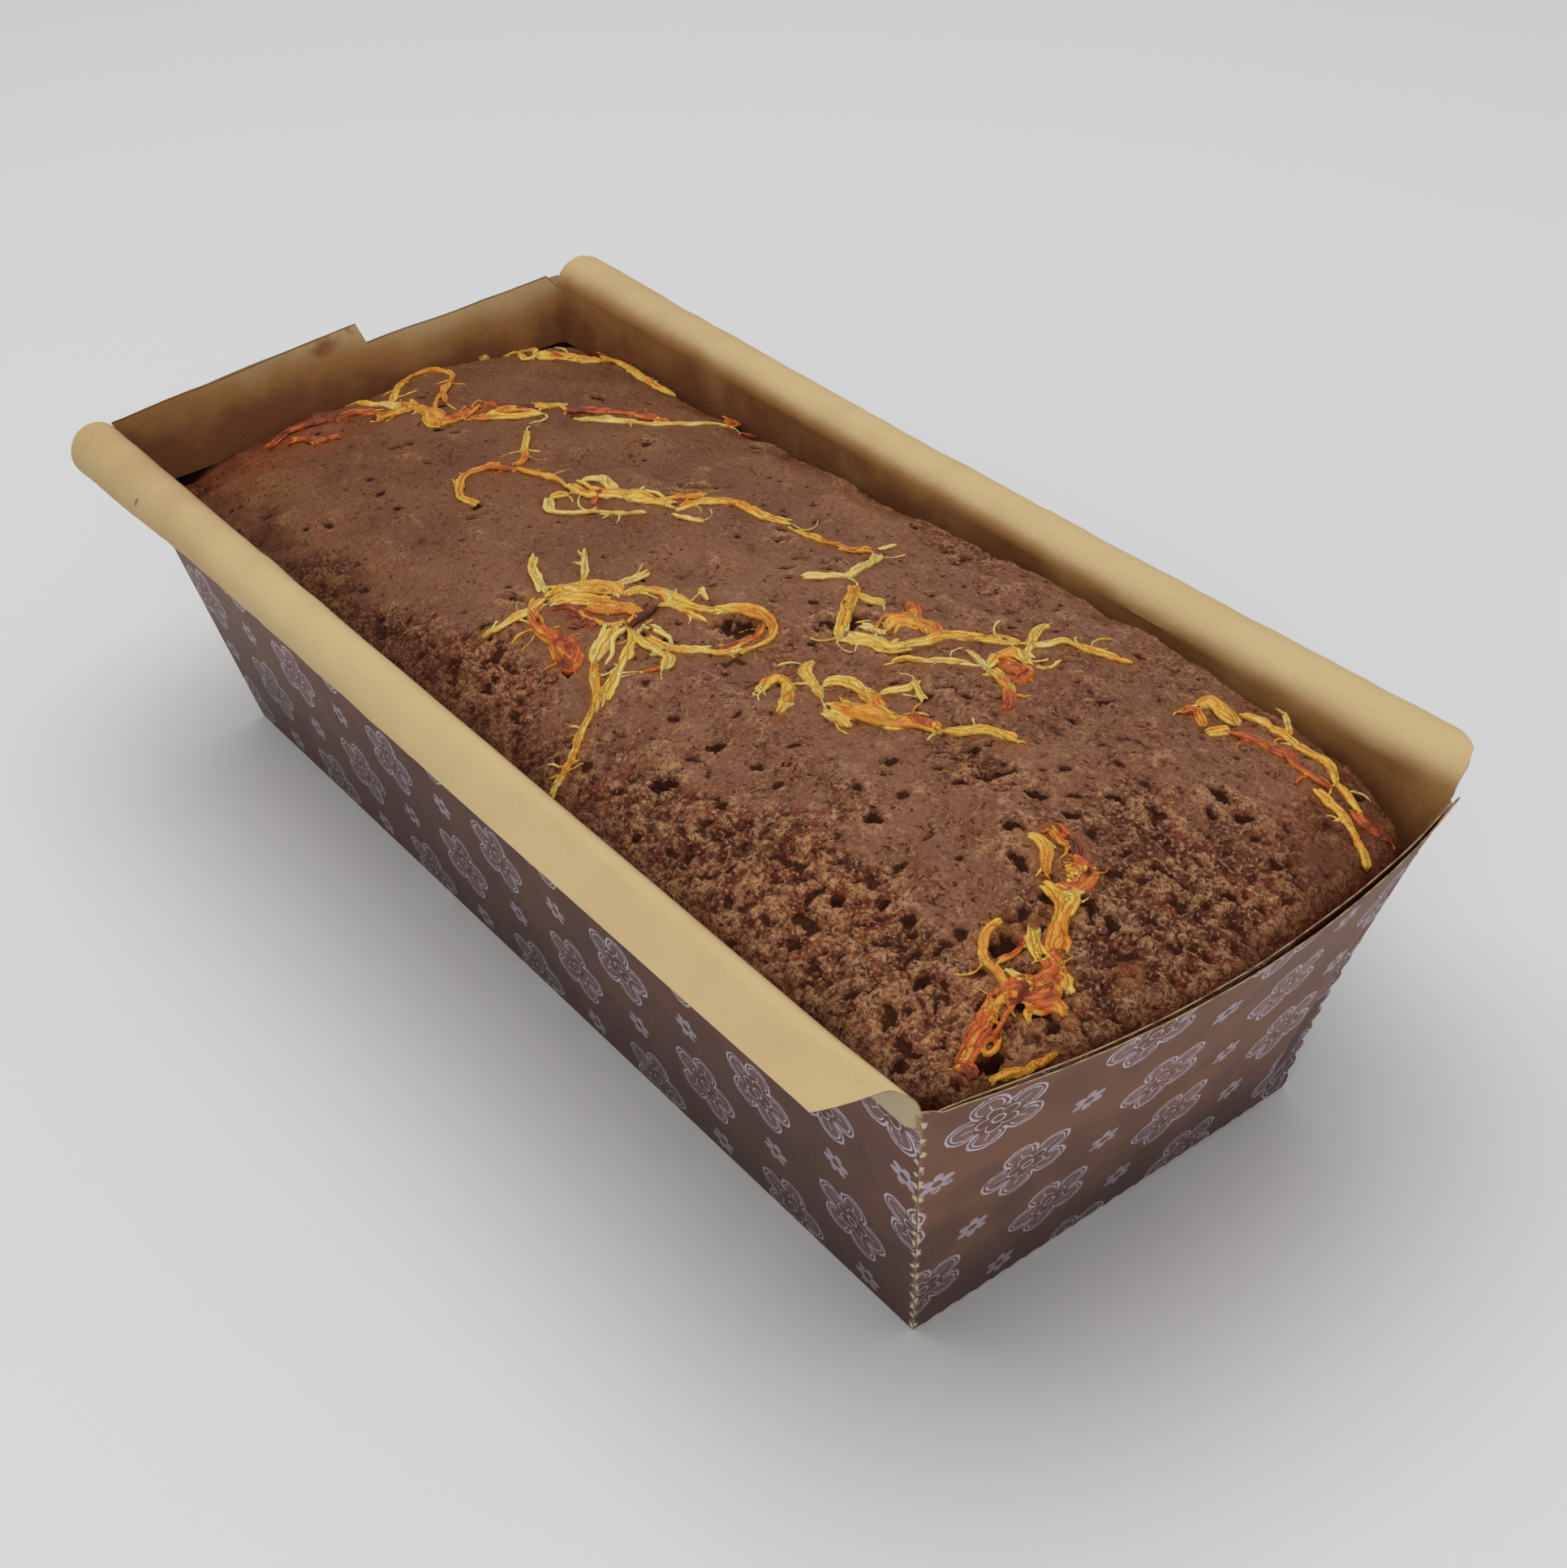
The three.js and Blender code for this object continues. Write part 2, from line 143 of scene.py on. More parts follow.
# Height of the crest and of the two long edges along X
CREST = ((-114, 53), (-106, 56), (-88, 58.5), (-60, 60.5), (-20, 63.2), (25, 66), (60, 67.2),
         (88, 66.6), (104, 64.2), (114, 61.5), (123, 58.5))
EDGE_RIGHT = ((-113, 47.5), (-104, 50.5), (-90, 52.5), (-54, 53.8), (-39, 55), (-15, 57),
              (34, 59.2), (70, 60), (90, 59.8), (100, 58.6), (108, 55.2), (116, 53))
EDGE_LEFT = ((-113, 45), (-98, 49), (-60, 52), (0, 54), (60, 56), (104, 57), (116, 56))
EDGE_HALF_WIDTH = 48.2
EDGE_POWER = 3.2

# Raised lips of holes and pits, the number that the pits are drawn from, and the part near the
# right corner that is full of them: its ends along X and along Y
HOLE_LIP = 0.25
PIT_LIP = 0.08
PIT_SEED = 11
SPONGY_X = (84, 114)
SPONGY_Y = (-14, 22)

# Fibres: step along a line, size of the voxels that melt them together, the height that the
# walls are taken at and the crumb's relief under them, and the wisps that stand off a shred
FIBRE_STEP = 0.45
FIBRE_VOXEL = 0.19
FIBRE_HEIGHT = 54.0
FIBRE_RELIEF = 0.7
WISP_STEPS = 13
WISP_SPACING = 3.6

# By cluster: width against the measured one, share of a shred in its solid core, and browning
WIDER = {"far_end": 1.5, "far_streak": 1.5, "far_middle": 1.18}
CORES = {"near_left": 0.44, "near_corner": 0.42, "near_middle": 0.40, "near_right": 0.38}
BROWNER = {"near_corner": 0.05, "near_right": 0.10, "far_streak": 0.08}

# Soft lights: place, target and size in metres, then power
LIGHTS = {
    "softbox_above": ((-0.12, 0.0, 1.3), (-0.05, 0.0, 0), 1.4, 8.4),
    "softbox_front": ((0.90, -0.72, 0.75), (0, 0, 0.05), 1.1, 3.2),
}

# Light from all round
WORLD_TONE = (0.97, 0.985, 1.0, 1)
WORLD_STRENGTH = 0.40

# Camera: viewing angles in degrees, its place along its own right, up and back, and its lens
CAMERA_AZIMUTH = 54.232
CAMERA_ELEVATION = 36.664
CAMERA_ROLL = -2.908
CAMERA_PLACE = (12.598, 17.05, 404.818)
FOCAL_PIXELS = 2780.913
PICTURE_PIXELS = 1932
SENSOR = 36

# Open holes in the crust: x, y, half length, half width, turn in degrees, depth
HOLES = (
    (-14, -25.3, 2.2, 0.8, 20, 2.6),
    (-24.7, 18.4, 3.0, 1.6, 30, 1.6),
    (-21, 16, 1.6, 1.0, 10, 1.4),
    (1.2, 17.7, 1.9, 0.9, 65, 1.5),
    (13.3, 19.9, 1.2, 0.8, 0, 1.2),
    (14.1, 9.5, 1.0, 0.7, 0, 1.0),
    (20.5, -4.9, 3.6, 2.6, 20, 2.4),
    (10.6, -17.8, 1.6, 1.0, 40, 1.8),
    (9.4, -29.7, 1.2, 0.9, 0, 1.2),
    (42.4, -35.2, 1.6, 1.2, 30, 2.2),
    (43, -25.5, 1.4, 0.9, 60, 1.6),
    (31.5, 7.0, 5.0, 2.2, 70, 1.6),
    (69.4, -0.2, 2.0, 0.7, 80, 1.8),
    (76.1, -1.6, 2.8, 1.2, 70, 2.4),
    (83, -0.4, 1.6, 1.0, 40, 1.8),
    (55.9, 6.4, 1.5, 0.6, 60, 1.2),
    (72.5, 24.1, 2.4, 0.6, 75, 1.4),
    (86.8, -8, 1.4, 0.8, 20, 1.8),
    (91.9, -11.8, 1.8, 0.8, 10, 1.8),
    (101, -22.6, 2.4, 1.9, 20, 3.0),
    (105.8, -24.1, 1.2, 0.7, 0, 1.6),
    (102.5, -9.2, 1.3, 0.8, 0, 1.5),
    (107.1, -8.9, 1.2, 0.8, 30, 1.4),
    (113, -35.4, 2.4, 1.4, 70, 3.0),
    (97.3, 20.5, 1.7, 1.3, 20, 2.2),
    (99.6, 16.9, 1.2, 1.0, 0, 1.8),
    (102.2, 20.4, 1.2, 0.9, 50, 1.7),
    (95.8, 10.1, 1.4, 1.0, 30, 1.7),
    (89.9, 7.5, 1.3, 0.9, 0, 1.6),
    (89.3, 0.1, 1.2, 0.9, 60, 1.5),
    (111, 17.7, 1.3, 0.9, 0, 1.4),
    (111.7, 8.1, 1.2, 0.8, 30, 1.4),
    (-63.5, -33, 1.1, 0.8, 0, 1.2),
    (-57.3, -22.7, 0.9, 0.7, 0, 1.0),
    (-2, 28, 1.2, 0.6, 60, 1.0),
    (104, 3, 1.4, 0.8, 20, 1.5),
    (113.4, -45.2, 3.4, 2.2, 60, 5.0),
)

# Baked-on shreds by cluster: width, browning at either end, then x and y of each point in plan
SHREDS = {
    "loop": (
        (3, 0.15, 0.15, -10.5, -21.5, -9, -18.5, -6.5, -16, -4, -13.5, 0.5, -13),
        (2.4, 0.18, 0.18, -8, -22, -6, -19.5, -4, -17.5, -0.5, -15),
        (1.4, 0.1, 0.1, -22.5, -15, -19.5, -18, -15.5, -19.5, -11, -21),
        (1.2, 0.1, 0.1, -19, -8, -13, -12, -7, -16),
        (1.2, 0.15, 0.15, -4, -5, -3.5, -8, -3.5, -11.5, -4, -14),
        (1.3, 0.2, 0.35, -10, -34, -8.5, -31, -8.5, -28, -8.5, -25, -9.5, -22),
        (2, 0.5, 0.75, -10, -22, -7, -26, -2.5, -27.5, 2, -27.5, 7, -29, 9.5, -29.5),
        (1.8, 0.62, 0.62, 6, -29.5, 3.5, -28.5, 3, -27, 6, -26.5, 9, -27.5, 9.5, -29.5, 6.5, -30),
        (3.2, 0.52, 0.6, 4.5, -28.2, 8, -28.6),
        (0.8, 0.85, 0.85, -6, -23, -5, -21.5, -3.5, -20.5, 0, -20, 4.5, -21.5),
        (1, 0.85, 0.85, -1, -23.5, -1.5, -21.5, 0.5, -21, 2.5, -23, 0.5, -24),
        (2.2, 0.45, 0.45, -2.5, -18.5, -1, -17.5, 2, -16, 3.5, -14.5, 6, -14),
        (1.4, 0.45, 0.45, -1.5, -19.5, 2, -20, 5, -19.5, 6.5, -17.5, 5.5, -15.5),
        (1.8, 0.95, 0.95, 8, -18, 7, -15.5, 6, -12.5, 5, -10.5),
        (2.8, 0.1, 0.1, 6, -18, 8, -21, 10, -24, 11.5, -26.5),
        (1.6, 0.12, 0.12, 8.5, -17.5, 12, -19.5, 14.5, -23),
        (1.3, 0.1, 0.1, 10, -17.5, 13.5, -18, 16.5, -18, 19.5, -18, 21.5, -20),
        (1.7, 0.2, 0.2, 0.5, -13, 1, -9.5, 3, -7.5, 6.5, -7.5, 10, -7, 13, -5.5, 14.5, -4),
        (1.2, 0.1, 0.1, 5.5, -10.5, 7, -9, 10.5, -8.5, 13, -8, 15.5, -7.5),
        (0.9, 0.05, 0.05, 6.5, -2.5, 10.5, -4),
        (1.7, 0.3, 0.45, 12.5, -5.5, 15.5, -3.5, 19, -1.5, 21.5, -1, 25, -2, 27.5, -4.5, 27.5, -7,
         26.5, -9.5),
        (1.1, 0.62, 0.62, 23, -2.5, 25, -4.5, 25.5, -7, 25, -9.5, 24, -11.5),
        (1.5, 0.2, 0.2, 26.5, -9, 24.5, -12, 21.5, -14, 18, -16, 14, -16.5, 12, -16.5),
        (1.2, 0.08, 0.08, 9, -15, 11.5, -14.5, 14.5, -14.5, 17.5, -15.5),
        (1.7, 0.15, 0.15, 15.5, -25, 18, -28, 19.5, -30.5, 21.5, -33),
        (1.3, 0.4, 0.35, 11.5, -26, 14.5, -28.5, 18, -30.5, 21, -33.5, 22.5, -36, 25, -39, 26.5, -42,
         28, -45.5),
        (1.3, 0.15, 0.15, 13.5, -22, 16.5, -25, 19, -28, 21, -31),
        (0.7, 0.8, 0.8, 19.5, -23, 21, -21.5, 20, -19),
    ),
    "near_middle": (
        (2, 0.5, 0.2, 23, 16, 27.5, 11.5, 31, 7.5, 34.5, 3.5),
        (1.5, 0.22, 0.22, 26, 14.5, 28.5, 15, 30, 16.5),
        (2.6, 0.12, 0.12, 34.5, 3.5, 37, 5, 39.5, 6.5, 43, 7, 43.5, 9.5),
        (2.6, 0.4, 0.4, 38.5, 9.5, 37, 12, 38, 14.5, 40.5, 15.5, 43, 14.5),
        (1.8, 0.62, 0.35, 32, 20, 35.5, 17.5, 39, 15.5),
        (1.7, 0.3, 0.3, 42.5, 7, 44, 11.5, 45, 15.5, 47.5, 19.5, 50, 22, 52.5, 24.5),
        (1.2, 0.52, 0.52, 42.5, 14.5, 45, 17, 47.5, 19),
        (0.9, 0.3, 0.35, 52.5, 24.5, 56, 26, 57, 28.5, 60, 30, 63, 32, 66.5, 34.5),
        (1.5, 0.25, 0.25, 51, 32, 50.5, 30.5, 52.5, 27, 56.5, 22.5),
        (2.2, 0.15, 0.15, 55.5, 14.5, 54.5, 18.5, 55.5, 21, 59, 20.5),
        (1.8, 0.3, 0.3, 56.5, 14.5, 60, 14, 64, 12.5),
        (2.2, 0.66, 0.66, 56, 17, 58, 18, 60.5, 18.5, 61.5, 15.5, 59, 15),
        (1.6, 0.55, 0.85, 61, 14, 64, 12, 66.5, 9),
        (0.9, 0.12, 0.12, 45.5, 3, 47, 6, 49, 8.5, 51, 10.5, 53.5, 14),
        (0.9, 0.1, 0.1, 49.5, 16, 52, 15.5, 55.5, 14.5),
        (0.7, 0.1, 0.1, 59.5, 21, 61.5, 22, 61, 25),
        (1.2, 0.05, 0.05, 34, 8, 36.5, 8.5, 39, 9),
    ),
    "near_left": (
        (2, 0.25, 0.25, 37, -14, 36, -11, 36.5, -9.5, 39.5, -10, 43, -13, 45.5, -16.5),
        (0.7, 0.1, 0.1, 40, -9.5, 42, -8),
        (1.4, 0.12, 0.12, 37, -3, 37.5, -5, 40, -7, 43.5, -8, 46.5, -9),
        (2.4, 0.2, 0.2, 43.5, -7, 44.5, -4.5, 46.5, -3.5, 51, -3.5),
        (3.4, 0.34, 0.34, 47.5, -8.5, 51.5, -8, 55, -6, 57.5, -4.5, 60, -2, 63, -0.5),
        (2.2, 0.5, 0.5, 49.5, -4.5, 51.5, -4, 54.5, -4.5),
        (2, 0.62, 0.62, 57.5, -2, 59, -1.5, 61.5, -1),
        (1.6, 0.06, 0.06, 48.5, -10.5, 52, -10.5, 54.5, -10),
        (1.3, 0.28, 0.28, 63, -1, 65.5, 1, 68, 3.5, 70.5, 4.5, 73.5, 5.5),
        (1.2, 0.15, 0.15, 50.5, -2, 51, 0, 52.5, 2.5, 52, 4.5),
        (1, 0.1, 0.1, 52, 3.5, 54.5, 2.5, 56.5, 2),
    ),
    "far_middle": (
        (1.3, 0.35, 0.62, -47, -12.5, -51.5, -12.5, -56, -10.5, -58.5, -6.5, -57, -3, -53, -0.5),
        (1.3, 0.2, 0.3, -65, 9.5, -60, 6, -55, 2.5, -53.5, 0),
        (1.1, 0.5, 0.3, -53, -0.5, -48.5, 1, -43.5, 2.5, -39.5, 2),
        (2.6, 0.25, 0.25, -40.5, 2.5, -35, 3, -31, 7, -25.5, 9.5, -20, 11),
        (1.8, 0.08, 0.08, -40.5, 5.5, -37.5, 8, -32, 7.5),
        (1.2, 0.7, 0.7, -31.5, 2, -33.5, 4),
        (1.3, 0.55, 0.55, -24, 12, -22, 15, -19.5, 17.5),
        (1.2, 0.08, 0.08, -39.5, -2, -35, -4.5, -31.5, -2, -29.5, 1, -24, 3.5, -20.5, 6),
        (1.2, 0.2, 0.2, -37, 0.5, -39.5, -2),
        (0.9, 0.02, 0.02, -17.5, 9, -14, 10, -11.5, 11),
        (1.8, 0.3, 0.3, -19.5, 10.5, -18.5, 14.5, -16, 18.5, -12, 20.5, -8, 21.5, -4, 24),
        (1, 0.28, 0.55, -3, 22.5, 2, 22.5, 7, 23, 11, 24.5, 12.5, 27, 14.5, 27.5),
        (0.7, 0, 0, 13.5, 28.5, 14, 32),
        (1.2, 0.05, 0, 14.5, 27.5, 17, 25, 19, 20.5, 20, 17, 18, 14, 16, 10.5),
    ),
    "far_streak": (
        (1.6, 0.7, 0.6, -103.5, -25, -104.5, -20.5, -103, -16.5, -101.5, -11.5, -100, -7, -97.5,
         -3.5),
        (0.9, 0.6, 0.6, -100.5, -22.5, -97, -18, -94, -14),
        (1.6, 0.2, 0.2, -107, -4.5, -102, -3.5, -100, -1, -95.5, -0.5),
        (1.9, 0.35, 0.45, -97, -5, -94, -1.5, -91, 2, -82.5, 1.5, -83, 5.5, -84.5, 10),
        (1.8, 0.22, 0.22, -98, 0.5, -93, 1.5, -84, 0, -81, 1),
        (0.9, 0.3, 0.5, -100.5, 0.5, -105, 3.5, -111.5, 9.5, -111, 13.5, -105, 14.5, -100.5, 14, -96,
         10.5, -94, 7, -90, 4),
        (0.8, 0.45, 0.45, -97.5, 10, -91, 7),
        (2, 0.5, 0.15, -81, 6.5, -77, 8, -77, 13, -74, 17, -71.5, 22.5),
        (1.2, 0.2, 0.2, -76.5, 7.5, -73.5, 12, -70.5, 16.5),
        (1.4, 0.78, 0.78, -82.5, 11.5, -77, 14, -72.5, 16),
        (1.5, 0.72, 0.6, -69.5, 20.5, -66.5, 24.5, -62.5, 27.5, -58.5, 30, -54, 34),
        (1, 0.2, 0.12, -66, 20.5, -59, 22.5, -55, 26.5, -52, 32, -51.5, 36.5, -49.5, 41, -48, 44),
        (0.9, 0.6, 0.6, -49, 43, -54.5, 48.5, -50, 46.5),
        (1.1, 0.7, 0.7, -46, 44, -44.5, 46.5),
    ),
    "far_end": (
        (1.2, 0.2, 0.2, -114, 27, -113.5, 29.5),
        (1, 0.2, 0.2, -111, 32, -111.5, 35.5, -114, 39.5, -102, 34, -100, 30.5, -107, 33),
        (2.3, 0.35, 0.3, -100.5, 33, -99, 37.5, -96, 41.5, -91, 43.5),
        (1.3, 0.66, 0.66, -101.5, 35.5, -97.5, 37),
        (1.7, 0.3, 0.25, -97, 47, -89, 46, -80, 44.5, -73.5, 44, -68, 44.5),
        (1.2, 0.66, 0.66, -98.5, 48, -95, 49),
    ),
    "near_right": (
        (1.3, 0.5, 0.35, 79.5, 31, 80.5, 33, 82.5, 32, 84.5, 31.5),
        (2.6, 0.15, 0.15, 80, 34, 80.5, 36, 82.5, 36.5, 85.5, 36.5, 86.5, 36.5),
        (1.5, 0.2, 0.2, 86, 30, 86.5, 31.5, 87, 34),
        (1.7, 0.64, 0.64, 87, 33.5, 90, 34.5, 93, 35.5, 95.5, 36.5, 98.5, 35.5, 101.5, 35.5, 104,
         36.5),
        (1.4, 0.12, 0.12, 84, 39, 86.5, 40.5, 89.5, 40.5, 92, 40.5, 94.5, 40, 96, 40.5, 98.5, 41.5,
         101.5, 39.5, 103.5, 38),
        (0.9, 0.1, 0.1, 84, 48.5, 87.5, 45.5, 92, 41),
        (1.4, 0.2, 0.3, 103, 38.5, 105.5, 38, 108, 37.5, 109, 37.5),
        (2, 0.66, 0.66, 108, 36, 110.5, 36, 112, 37, 114, 38),
        (1.4, 0.25, 0.32, 103, 34, 105, 34, 107.5, 34, 110.5, 33, 113, 32, 115, 31, 117, 29.5),
    ),
    "near_corner": (
        (1.5, 0.22, 0.5, 89.5, -8, 91, -7.5, 93, -8, 94.5, -9.5, 96.5, -10.5),
        (2, 0.55, 0.7, 90, -4.5, 91, -4.5, 93, -5, 94, -4.5),
        (1.6, 0.92, 0.92, 93, -3.5, 94.5, -4, 96, -5),
        (1.9, 0.66, 0.66, 95.5, -7, 97, -6.5, 99, -6, 100, -8, 99, -9.5, 97.5, -9.5),
        (1.6, 0.35, 0.35, 97, -8.5, 98, -7.5),
        (1.4, 0.97, 0.97, 99, -6, 99.5, -6),
        (2.4, 0.2, 0.4, 96.5, -11.5, 99, -11.5, 100.5, -12, 102, -13.5, 103.5, -15.5, 105, -17,
         106.5, -19.5),
        (1.6, 0.2, 0.2, 100, -10, 101.5, -10.5, 102.5, -12.5),
        (2, 0.25, 0.25, 101, -17.5, 102.5, -19, 104, -20, 106, -20.5),
        (1.2, 0.3, 0.4, 98, -20, 98, -23, 99.5, -25, 101.5, -26.5, 104, -26.5, 106, -27, 107, -26.5),
        (1.1, 0.3, 0.62, 103, -26, 103.5, -24, 103, -21.5, 101.5, -20),
        (1.2, 0.08, 0.08, 104.5, -25.5, 106.5, -25, 107.5, -24),
        (2, 0.28, 0.28, 108, -19.5, 110, -20, 111.5, -21),
        (2.2, 0.45, 0.6, 106, -20, 108, -20.5, 108, -22.5, 107.5, -24.5, 107.5, -27, 107.5, -29.5),
        (2.6, 0.45, 0.45, 107.5, -24, 110, -23, 111.5, -22.5),
        (2, 0.48, 0.48, 109.5, -26.5, 111, -25, 112.5, -23.5, 114, -23.5),
        (1.4, 0.25, 0.25, 110, -26.5, 111, -27.5, 112, -28),
        (2.4, 0.45, 0.58, 107, -28, 108, -30.5, 109, -32.5, 109.5, -34.5, 110.5, -37, 110.5, -39),
        (1, 0.4, 0.4, 111.5, -32.5, 112.5, -34.5, 112, -35.5, 111, -35),
        (1.8, 0.6, 0.8, 110.5, -38.5, 112.5, -38, 113.5, -38.5),
        (1.6, 0.3, 0.4, 115, -37.5, 115.5, -35.5, 116, -33, 117, -30.5, 118, -28),
        (1.4, 0.75, 0.75, 112, -11.5, 114, -12.5),
    ),
}


def linear(red, green, blue):
    """A colour given as eight-bit display values, as linear values."""
    def channel(value):
        v = value / 255
        return v / 12.92 if v <= 0.04045 else ((v + 0.055) / 1.055) ** 2.4
    return (channel(red), channel(green), channel(blue))


def colour(name, description, red, green, blue):
    return bpy.props.FloatVectorProperty(
        name=name, description=description, subtype="COLOR", size=3, min=0, max=1,
        default=linear(red, green, blue),
    )


# Tones of skin and crumb, among them painted shade and painted highlight, and the tint of the far half
SKIN_PINK = linear(140, 92, 75)
SKIN_LIGHT = linear(196, 146, 102)
SKIN_SPOT = linear(88, 42, 22)
CRUMB_PINK = linear(142, 94, 78)
CRUMB_OCHRE = linear(150, 100, 44)
CRUMB_WET = linear(130, 56, 26)
# Painted shade in the gaps between crumb grains
CRUMB_GAP_SHADE = linear(78, 28, 5)
CRUMB_SHADE = linear(78, 32, 12)
# Pale specks that are partly painted glints
LIGHT_SPECK_AND_GLINT = linear(216, 172, 132)
DARK_SPECK = linear(72, 26, 6)
WARM_EDGE = linear(168, 76, 34)
SYRUP = linear(150, 88, 38)
# Painted shade where the shreds touch the crust
SHRED_CONTACT_SHADE = linear(84, 36, 14)
WALL_SHADE = linear(80, 32, 10)
FAR_TINT = (0.76, 0.68, 0.52)

# Tones of the shreds, from pale to roasted
ROAST = ((0.0, (231, 202, 117)), (0.2, (232, 184, 67)), (0.42, (227, 151, 38)),
         (0.62, (208, 96, 23)), (0.8, (138, 48, 16)), (0.97, (82, 32, 14)))
FIBRE_DARK = linear(160, 92, 32)
# Pale streaks, partly painted highlight
FIBRE_PALE_HIGHLIGHT = linear(238, 211, 130)

# Tones of the unprinted side of the paper and of its cut edge
KRAFT_CLOUD = linear(203, 175, 125)
# Deepest soaked stain, with painted shade in it
KRAFT_SOAKED_AND_SHADED = linear(114, 61, 26)
KRAFT_STAIN = linear(126, 62, 26)
KRAFT_FIBRE = linear(120, 96, 66)
# Painted shade along the top edge of the far wall
KRAFT_TOP_EDGE_SHADE = linear(84, 48, 26)
EDGE_PALE = linear(178, 146, 112)
EDGE_DARK = linear(122, 88, 64)

# Tones of the printed side, and its tints: painted shade on the long sides and painted light on the
# ends
PRINT_CLOUD = linear(106, 72, 56)
PRINT_GRAIN = linear(150, 116, 98)
PRINT_FAR = linear(158, 118, 100)
PRINT_FOOT_SHADE = linear(58, 34, 28)
TORN_PAPER = linear(224, 206, 170)
BARE_PAPER = linear(196, 178, 140)
BARE_STAIN = linear(172, 116, 64)
SIDE_PAINTED_SHADE = (0.84, 0.66, 0.60)
END_PAINTED_LIGHT = (1.24, 1.14, 1.03)

FLOOR_TONE = linear(231.5, 231.2, 230.4)


class LoafSettings(bpy.types.PropertyGroup):
    """Sizes and colours of the cake and its case."""

    crumb_relief: bpy.props.FloatProperty(
        name="Crumb relief", description="Height of the open crumb over its hollows, in millimetres",
        default=1.5, min=0, max=3,
    )
    pit_count: bpy.props.IntProperty(
        name="Pits", description="Number of small round pits scattered over the crust",
        default=620, min=0, max=3000,
    )
    shred_fullness: bpy.props.FloatProperty(
        name="Shred fullness", description="Thickness of the shreds against their measured width",
        default=1.0, min=0.5, max=1.6, subtype="FACTOR",
    )
    motif_column: bpy.props.FloatProperty(
        name="Motif column", description="Distance between columns of rosettes, in millimetres",
        default=17.5, min=8, max=40,
    )
    motif_row: bpy.props.FloatProperty(
        name="Motif row", description="Distance between large rosettes in a column, in millimetres",
        default=27.0, min=12, max=60,
    )
    skin: colour("Skin", "Smooth baked skin", 159, 107, 73)
    skin_dark: colour("Dark skin", "Darker patches of the skin", 128, 80, 55)
    crumb: colour("Crumb", "Open rough crumb", 157, 94, 58)
    # Gold of raised grains and of the lips of hollows: toasted colour, partly painted highlight
    crumb_gold_and_highlight: colour("Gold crumb", "Raised grains of the open crumb", 220, 166, 114)
    # Painted shade: the dark at the bottom of pits, hollows and pores
    hollow: colour("Hollow", "Bottom of pits and hollows", 60, 24, 8)
    kraft: colour("Kraft", "Unprinted side of the paper", 213, 186, 135)
    # Soaked stain and painted shade together
    kraft_stained_and_shaded: colour("Stained kraft", "Paper soaked by the cake", 166, 118, 62)
    printed: colour("Printed ground", "Ground of the printed side", 122, 84, 65)
    motif: colour("Motif", "Lines of the rosettes", 206, 194, 208)


def smooth_ramp(t):
    t = np.clip(t, 0, 1)
    return t * t * (3 - 2 * t)


def lattice(i, j):
    s = np.sin(i * 127.1 + j * 311.7) * 43758.5453
    return 2 * (s - np.floor(s)) - 1


def noise(x, y):
    """Smooth value noise from -1 to 1."""
    i, j = np.floor(x), np.floor(y)
    fx, fy = smooth_ramp(x - i), smooth_ramp(y - j)
    low = lattice(i, j) * (1 - fx) + lattice(i + 1, j) * fx
    high = lattice(i, j + 1) * (1 - fx) + lattice(i + 1, j + 1) * fx
    return low * (1 - fy) + high * fy


def along(pairs, x):
    p = np.array(pairs, float)
    return np.interp(x, p[:, 0], p[:, 1])


def outside(z):
    """Half length, half width and bow of the near end of the case at a height."""
    t = np.maximum(z, 0) / FOLD_HEIGHT
    length = BASE_LENGTH / 2 + (TOP_LENGTH - BASE_LENGTH) / 2 * t
    width = BASE_WIDTH / 2 + (TOP_WIDTH - BASE_WIDTH) / 2 * t
    return length, width, END_BOW * t ** 1.5


def arch(y, width):
    """Share of the near end's bow at a place across: 1 in the middle and 0 at the corners."""
    return 1 - np.minimum(np.abs(y) / width, 1) ** 2


def lining(z):
    """How far the inside of a long wall lies in from its outside."""
    return SHEET + (PAPER - SHEET) * smooth_ramp((z / FOLD_HEIGHT - 0.75) / 0.25)


def roughness_at(x, y):
    """How open the crumb is, 0 for baked skin and 1 for open crumb."""
    drift = 9 * noise(x / 17 + 7, y / 13 + 2) + 5 * noise(x / 7.5, y / 6.5 + 4)
    left = smooth_ramp((-y - (34 - 0.09 * (x + 100)) + drift) / 15)
    near = smooth_ramp((x - 84 + 0.12 * y + drift) / 30) * (1 - 0.4 * smooth_ramp((y - 6 + drift) / 22))
    right = 0.6 * smooth_ramp((y - 34 + drift * 0.7) / 14)
    spongy = 0.85 * np.exp(-((x - 97) / 12) ** 2 - ((y - 6) / 14) ** 2)
    groove = 0.9 * np.exp(-((x - 74) / 9) ** 2 - ((y + 3) / 6) ** 2)
    middle = 0.34 * smooth_ramp((x + 20 + drift) / 60)
    return np.clip(np.maximum.reduce([left, near, right, spongy, groove, middle]), 0.06, 1)


def crust_base(x, y):
    """The loaf's dome with its broad swells and crags, without its fine crumb."""
    edge = np.where(y > 0, along(EDGE_RIGHT, x), along(EDGE_LEFT, x))
    across = np.minimum(np.abs(y) / EDGE_HALF_WIDTH, 1)
    dome = edge + (along(CREST, x) - edge) * (1 - across ** EDGE_POWER)
    left = smooth_ramp((-y - 26) / 16)
    near = smooth_ramp((x - 70) / 40) * smooth_ramp((-y + 20) / 40)
    crags = 0.8 * noise(x / 7.3, y / 6.1) + 1.0 * np.maximum(left, near) * noise(x / 6.1 + 9, y / 5.3)
    return dome + 0.9 * noise(x / 31 + 4.2, y / 24 + 1.7) + crags


